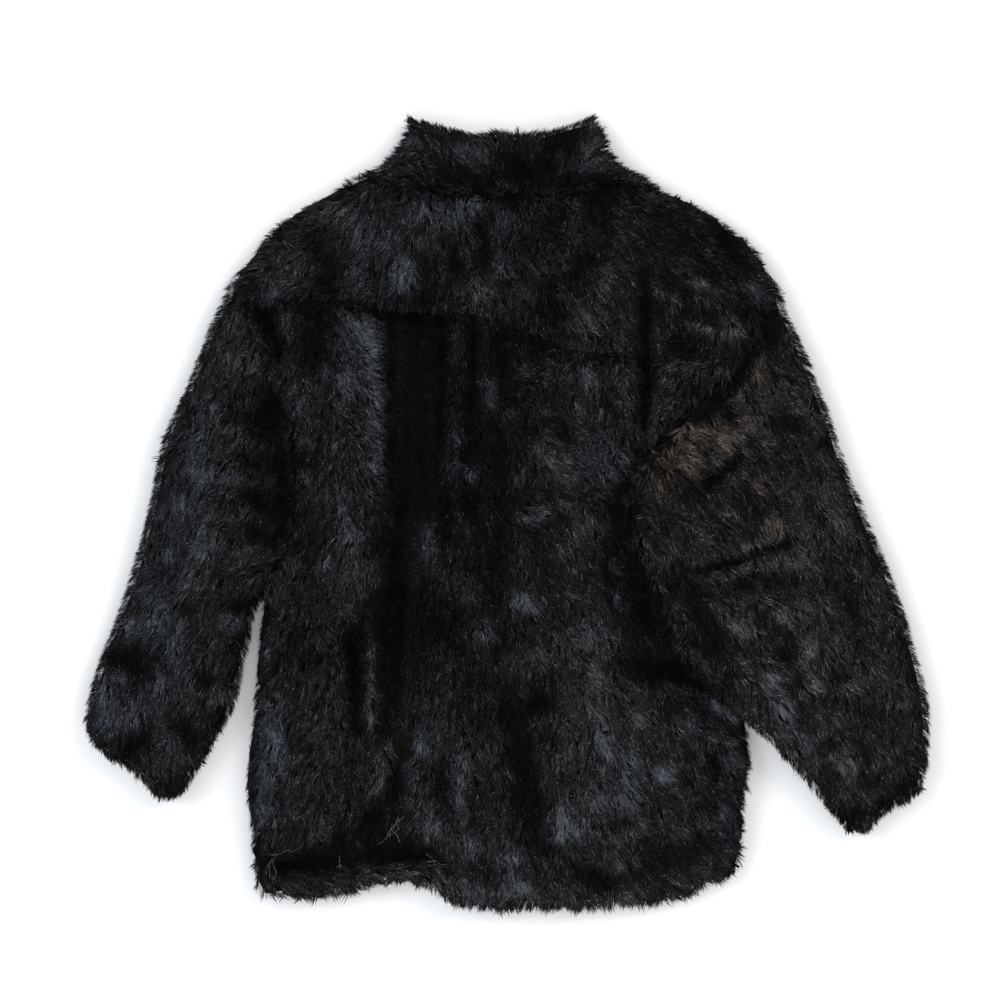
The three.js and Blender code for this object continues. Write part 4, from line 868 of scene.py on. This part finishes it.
# Painted sheen and shade on the left sleeve's pile, darkest along the shade of its armhole
LEFT_SLEEVE_PAINTED_LIGHT = [
    run((-370, 120), (-440, -230), 50, 0.15, -0.4), run((-285, 245), (-262, 185), 13, -1.1),
    run((-270, 130), (-268, 95), 16, -1.1), run((-290, 60), (-262, 55), 16, -0.6),
    run((-258, 75), (-256, -20), 10, -1), run((-290, 18), (-268, 0), 14, -0.9),
    run((-290, -18), (-270, -24), 11, -0.8), run((-325, 135), (-305, 133), 7, -0.6),
    run((-322, 108), (-290, 110), 10, -0.7), spot((-315, 165), 18, 0.35),
    run((-286, 175), (-280, 150), 16, 0.2, 0.7), spot((-310, 95), 14, 0.3, 0.2),
    run((-340, 46), (-292, 35), 7, 0.5, -0.4), run((-340, -5), (-285, -8), 6, 0.35, -0.2),
    run((-310, -60), (-290, -45), 14, 0.5, -0.1), run((-352, 86), (-356, 48), 11, 0.7, -0.9),
    spot((-348, 38), 11, 0.5, -0.6), spot((-375, 10), 8, 0.6, -0.9),
    run((-347, -20), (-347, -44), 8, 0.79, -0.6), spot((-388, -50), 10, 0.6, -0.8),
    run((-395, -105), (-402, -126), 14, 0.7, -0.9), spot((-435, -130), 9, 0.7, -1),
    run((-380, -145), (-378, -165), 12, 0.79, -0.8), spot((-398, -195), 9, 0.7, -0.8),
    spot((-362, -195), 8, 0.5, -0.8), run((-462, -200), (-460, -235), 10, 0.7, -1),
    spot((-315, -125), 9, 0.6, -1), spot((-305, -105), 9, -1.1), spot((-365, -110), 9, -0.7),
    run((-440, -165), (-420, -176), 16, -1.1), spot((-345, -190), 11, -1), spot((-316, -152), 7, -0.6),
    run((-430, -265), (-415, -255), 12, -0.8), run((-372, -245), (-362, -256), 12, -0.9),
    spot((-465, -265), 9, -0.8), spot((-440, -282), 12, -0.6), spot((-392, -260), 9, 0.3, -0.5),
    spot((-385, -310), 12, -0.4), run((-345, 122), (-336, 98), 16, 0.3),
    run((-285, 72), (-280, 40), 13, 0.3), run((-370, 0), (-366, -80), 16, 0.35),
    run((-440, -180), (-400, -186), 12, 0.4), spot((-330, -210), 14, 0.35), spot((-390, -262), 13, 0.3),
    spot((-420, -155), 11, -0.3), spot((-256, -40), 13, -0.4), spot((-370, -130), 14, 0.2),
    run((-292, 5), (-272, -18), 9, 0.5), spot((-325, -30), 10, 0.3), run((-360, 15), (-345, 10), 10, 0.2),
    run((-415, -225), (-430, -235), 14, 0.4), run((-330, 135), (-330, 110), 12, 0.3),
    run((-360, -85), (-350, -80), 16, 0.25), spot((-320, -130), 14, 0.25),
    run((-380, -255), (-400, -255), 14, 0.3), run((-325, -245), (-340, -235), 10, -0.4),
    spot((-322, -212), 10, 0.3), spot((-272, 190), 8, 0.5), spot((-260, -12), 8, 0.4),
    spot((-370, -128), 11, 0.3), spot((-372, -186), 11, 0.3), spot((-444, -184), 9, 0.3),
    run((-262, 80), (-265, 40), 8, 0.3), spot((-330, 128), 9, 0.2), spot((-250, 212), 9, -0.3),
    spot((-250, 213), 10, -0.4), spot((-268, 195), 9, 0.35), spot((-322, 185), 12, 0.25),
    run((-285, 130), (-262, 80), 10, 0.3), spot((-262, -10), 10, 0.3), spot((-252, 118), 8, -0.25),
    spot((-345, -25), 9, -0.25), spot((-320, -208), 9, 0.35), spot((-330, -245), 9, -0.4),
    spot((-415, -155), 10, -0.25), spot((-372, -125), 9, 0.2), spot((-320, 240), 9, -0.3),
]
# Painted sheen and shade on the right sleeve's pile: its warm lit patch, and the shade where it folds over
# the back
RIGHT_SLEEVE_PAINTED_LIGHT = [
    run((190, 45), (330, 0), 60, 0.1, 0.5), run((275, 192), (262, 165), 12, -1.2),
    run((295, 225), (300, 204), 12, -1), run((248, 152), (224, 116), 16, -1.2),
    run((215, 130), (190, 105), 9, -0.6), run((290, 168), (296, 140), 12, 0.5, 0.6),
    spot((285, 156), 7, 0.6, 0.6), spot((265, 127), 9, 0.9, 0.9), run((234, 97), (246, 84), 16, 0.85, 1),
    run((204, 86), (208, 50), 15, 0.7, 0.8), spot((275, 100), 9, 0.88, 0.9),
    run((258, 60), (226, 34), 7, -1.3), spot((285, 60), 14, -0.4, 1),
    run((170, 62), (176, 40), 16, 0.1, 0.9), spot((285, 33), 8, 0.7, 0.6), spot((270, 46), 6, 0.6, 0.4),
    spot((250, -2), 8, 0.6, -0.2), run((298, -12), (312, -18), 10, 0.88, 0.6),
    spot((272, -40), 8, 1.06, -0.5), spot((345, -18), 7, 0.6, 0.3), spot((330, 10), 7, 0.5, 0.3),
    run((300, 8), (288, -2), 9, -0.6, 0.2), run((214, -65), (262, -54), 4, -1.6),
    run((262, -54), (322, -31), 4, -1.3), run((225, -78), (310, -56), 8, 0.6, 0.5),
    run((212, -88), (330, -74), 9, -0.5), run((215, -105), (236, -155), 18, -0.9, -0.2),
    run((160, -60), (184, -118), 8, 0.25, -0.5), run((196, -156), (240, -184), 7, 0.4, -0.5),
    spot((240, -108), 12, 0.3, 0.3), run((256, -126), (275, -136), 9, 0.7, -0.4),
    run((304, -130), (318, -140), 7, -0.5, 0.2), spot((316, -160), 12, -0.9),
    run((302, -194), (320, -240), 14, 1.06, -0.9), run((342, -150), (350, -204), 11, 0.79, -0.4),
    run((338, -255), (342, -282), 8, 0.7, -0.7), spot((378, -185), 11, -0.9), spot((415, -225), 9, -0.5),
    spot((410, -280), 7, -0.4), run((391, -84), (394, -114), 10, -0.6, 0.4),
    run((400, -172), (442, -215), 16, 0.4, -0.5), spot((330, -110), 14, 0.3),
    run((384, -352), (428, -334), 12, -0.7), run((428, -334), (476, -304), 12, -0.8),
    spot((376, -320), 10, 0.3, -0.4), run((396, -302), (386, -272), 6, 0.4),
    run((356, 25), (385, -12), 15, 0.35, -0.5), run((310, 105), (330, 103), 12, -0.6, 0.3),
    spot((360, 82), 9, -0.5, 0.2), run((142, 4), (140, -6), 9, -0.8, 0.2),
    run((300, 122), (360, 118), 30, 0.25), spot((210, 30), 19, -0.55, 0.1), spot((186, -80), 14, -0.5),
    spot((180, -22), 12, -0.2), spot((335, -55), 19, 0.4), spot((275, -72), 13, 0.3),
    spot((316, -122), 15, 0.5), run((380, -100), (372, -168), 28, 0.25), spot((391, -202), 14, 0.3),
    spot((350, -236), 12, 0.3), spot((415, -330), 12, 0.4), spot((460, -150), 12, -0.35),
    run((380, 80), (430, -60), 9, -0.35), spot((225, 138), 14, -0.4), spot((255, -185), 14, -0.3),
    run((280, -230), (300, -265), 12, -0.2), run((130, 12), (142, -10), 8, 0.5),
    run((148, -30), (152, -75), 7, 0.5), run((150, 45), (182, 74), 9, 0.4),
    run((262, 105), (262, 130), 11, 0.3), spot((228, 138), 10, -0.5), run((220, 40), (200, 35), 14, -0.3),
    run((212, 88), (208, 70), 10, -0.3), spot((184, -70), 12, -0.4), run((175, 0), (170, -30), 10, -0.3),
    run((300, -55), (340, -50), 18, 0.3), run((310, -115), (320, -140), 13, 0.4),
    run((212, -145), (225, -150), 13, -0.3), run((255, -185), (240, -190), 12, -0.3),
    run((360, -235), (380, -290), 20, 0.3), run((410, -330), (455, -325), 13, 0.35),
    spot((375, 85), 9, -0.3), run((405, 0), (440, -60), 8, -0.4), run((460, -140), (468, -180), 10, -0.5),
    run((372, -345), (390, -362), 10, -0.5), run((325, -225), (335, -250), 12, -0.3),
    spot((430, -285), 14, 0.25), run((140, 52), (196, 122), 6, -0.7), run((152, 38), (186, 78), 5, -0.5),
    run((132, 40), (178, 116), 5, 0.4), run((146, 44), (190, 100), 5, 0.4), spot((240, 110), 10, 0.45),
    spot((266, 140), 8, 0.35), run((262, -60), (290, -40), 10, 0.4), spot((305, -110), 13, 0.35),
    spot((178, 70), 10, 0.3), run((315, 235), (325, 225), 8, -0.5), spot((372, 82), 9, -0.4),
    spot((415, -20), 10, -0.3), spot((275, -95), 9, 0.3), spot((195, -10), 9, 0.25),
    run((120, 25), (135, -15), 8, 0.4), run((142, -25), (155, -85), 9, 0.35),
    run((150, 45), (195, 95), 9, 0.35), spot((200, 25), 14, -0.25), spot((165, 0), 9, -0.25),
    spot((188, -88), 9, -0.3), spot((222, -108), 8, 0.35), spot((295, 148), 12, -0.3),
    spot((348, 18), 8, -0.3), spot((250, 30), 8, -0.2), spot((182, 155), 9, -0.25),
    spot((230, 145), 9, -0.2), spot((320, 30), 10, 0.2), spot((310, -150), 14, 0.25),
    spot((345, -110), 14, 0.2), spot((275, -85), 11, 0.2), run((200, -190), (245, -225), 7, 0.4),
    run((375, 85), (405, 10), 8, -0.4), run((405, 0), (430, -55), 9, -0.4),
    run((465, -140), (470, -185), 9, -0.5), spot((395, -205), 12, 0.2), spot((435, -275), 12, 0.2),
    spot((385, -355), 8, -0.4),
]
furred(
    "sleeve_left", STANDING, layers(2100, 6200), LEFT_SLEEVE_COMB, LEFT_SLEEVE_PAINTED_LIGHT, black_pile, "black_pile",
    seed=4000, creases=LEFT_SLEEVE_CREASES, flat=(0.5, 0.6), area=0.21, rests_on=["floor"],
)
furred(
    "sleeve_right", STANDING, layers(2500, 8000), RIGHT_SLEEVE_COMB, RIGHT_SLEEVE_PAINTED_LIGHT, warm_sheen_pile,
    "brownish_pile", seed=5000, creases=RIGHT_SLEEVE_CREASES, flat=(0.5, 0.6), area=0.21,
    rests_on=["back_cloth", "floor"],
)

# ---------- Collar ----------
# The stand collar is one band folded double and sewn round the neck. Its ends meet underneath, at the
# front opening. Its pile flares out from the seam to the top edge.

COLLAR_COMB = [
    stroke((-120, 420), 50, 150), stroke((-50, 420), 50, 110), stroke((40, 420), 50, 80),
    stroke((110, 420), 50, 35), stroke((-34, 440), 24, 172), stroke((0, 438), 18, 168),
    stroke((46, 442), 22, 20),
]
# Painted sheen and shade on the collar's pile
COLLAR_PAINTED_LIGHT = [
    run((-100, 440), (-90, 420), 22, 0.4, -0.4), run((-60, 412), (-40, 396), 14, 0.3, -0.5),
    run((-72, 386), (-20, 380), 12, -0.8), run((10, 400), (20, 385), 18, -0.8),
    run((48, 418), (45, 396), 12, -1), run((80, 395), (72, 402), 17, 0.35, -0.5),
    run((70, 380), (122, 376), 10, -0.7), spot((-92, 432), 24, -0.4), spot((70, 432), 18, -0.4),
    run((0, 386), (62, 380), 12, -0.4), run((-60, 440), (-75, 420), 14, -0.4),
    run((-110, 400), (-100, 375), 14, -0.2), run((70, 420), (60, 440), 12, -0.4),
    run((105, 420), (100, 440), 7, 0.4), spot((68, 440), 11, -0.4), spot((-60, 430), 11, -0.35),
    spot((72, 410), 11, -0.4), spot((60, 446), 12, -0.45), spot((-100, 446), 12, -0.25),
]
furred(
    "collar", STANDING, layers(450, 1450), COLLAR_COMB, COLLAR_PAINTED_LIGHT, black_pile, "black_pile", seed=6000,
    flat=(0.5, 0.075), area=0.036, rests_on=["floor"],
)

# ---------- Hem threads ----------
# The hem is sewn with pale grey thread. Its loose ends curl out of the pile along the stitched groove,
# at the left side and left of the middle. Each end is one thin thread, bent as it lies on the pile.

THREAD = 0.11 * mm
THREADS = [
    [(-262, -390), (-266, -394), (-270, -400), (-272, -408), (-273, -417)],
    [(-262, -390), (-254, -386), (-246, -388), (-240, -385), (-234, -382)],
    [(-281, -394), (-274, -391), (-268, -393), (-262, -390)],
    [(-269, -398), (-274, -403), (-277, -409), (-276, -414)],
    [(-268, -396), (-267, -404), (-263, -411), (-265, -418)],
    [(-119, -349), (-127, -352), (-131, -359), (-135, -368), (-141, -375), (-147, -380)],
    [(-124, -348), (-128, -356), (-133, -362), (-126, -368), (-124, -377)],
    [(-131, -358), (-135, -364), (-134, -373)],
    [(-128, -354), (-125, -361), (-128, -366), (-137, -369)],
    [(-194, -392), (-190, -398), (-193, -404), (-190, -408)],
    [(-196, -404), (-191, -402), (-186, -406)],
    [(-93, -390), (-86, -395), (-83, -402), (-88, -404), (-91, -398)],
    [(-90, -399), (-82, -398), (-76, -402), (-69, -400)],
]
WANDER = 0.9  # mm, how far a thread strays from its bends
ON_PILE = (-1, 1.5)  # mm, how high it lies against the outside of the pile

random = np.random.default_rng(70)
lines = bpy.data.curves.new("hem_threads", "CURVE")
lines.dimensions = "3D"
lines.bevel_depth = THREAD / 2
lines.bevel_resolution = 1
lines.resolution_u = 4
for bends in THREADS:
    line = lines.splines.new("NURBS")
    line.points.add(2 * len(bends) - 2)
    line.order_u = 4
    line.use_endpoint_u = True
    for i, point in enumerate(line.points):
        (x0, y0), (x1, y1) = bends[i // 2], bends[(i + 1) // 2]
        x = ((x0 + x1) / 2 + random.normal(0, WANDER)) * mm
        y = ((y0 + y1) / 2 + random.normal(0, WANDER)) * mm
        top = solids.ray_cast(Vector((x, y, 1)), Vector((0, 0, -1)))[0]
        point.co = (x, y, top[2] + random.uniform(*ON_PILE) * mm, 1)
select_only(new_object("hem_threads", lines))
bpy.ops.object.convert(target="MESH")
grey_thread, _ = new_material("grey_thread", {"Base Color": (0.42, 0.41, 0.39, 1), "Roughness": 0.8})
finish_with(bpy.context.object, grey_thread)

# ---------- Surface, light and camera ----------
# The coat lies on a plain near white surface, in soft daylight from its upper left and a warmer fill.
# The camera looks straight down on it.

bpy.ops.mesh.primitive_plane_add(size=60, location=(0, 0, 0))
floor = bpy.context.object
floor.name = "floor"
near_white, _ = new_material("floor", {"Base Color": (0.9, 0.9, 0.9, 1), "Roughness": 0.9})
floor.data.materials.append(near_white)

LIGHTS = [
    {"name": "window", "from": (-1.5, 0.5, 1.4), "soft": 30, "strength": 1.1, "colour": (0.88, 0.94, 1.0)},
    {"name": "lamp", "from": (1.5, 1.0, 1.5), "soft": 26, "strength": 0.75, "colour": (1.0, 0.93, 0.86)},
    {"name": "room", "from": (0.2, -1.2, 1.6), "soft": 50, "strength": 0.6, "colour": (1.0, 0.99, 0.97)},
]
for light in LIGHTS:
    bpy.ops.object.light_add(type="SUN", location=light["from"])
    lamp = bpy.context.object
    lamp.name = light["name"]
    lamp.data.angle = math.radians(light["soft"])
    lamp.data.energy = light["strength"]
    lamp.data.color = light["colour"]
    lamp.rotation_euler = (-Vector(light["from"])).to_track_quat("-Z", "Y").to_euler()

world = bpy.data.worlds.new("room")
world.use_nodes = True
daylight = world.node_tree.nodes["Background"]
daylight.inputs["Color"].default_value = (0.95, 0.97, 1.0, 1)
daylight.inputs["Strength"].default_value = 0.85
bpy.context.scene.world = world
bpy.context.scene.view_settings.view_transform = "Standard"

PICTURE_SIDE = 1.15  # what the picture takes in, at the height of the coat's edge
EDGE_HEIGHT = 0.014
AIM = (-0.0086, 0.0143)
camera_data = bpy.data.cameras.new("camera")
camera_data.lens = 90
camera = new_object("camera", camera_data)
far = PICTURE_SIDE * camera_data.lens / camera_data.sensor_width
camera.location = (*AIM, far + EDGE_HEIGHT)
bpy.context.scene.camera = camera
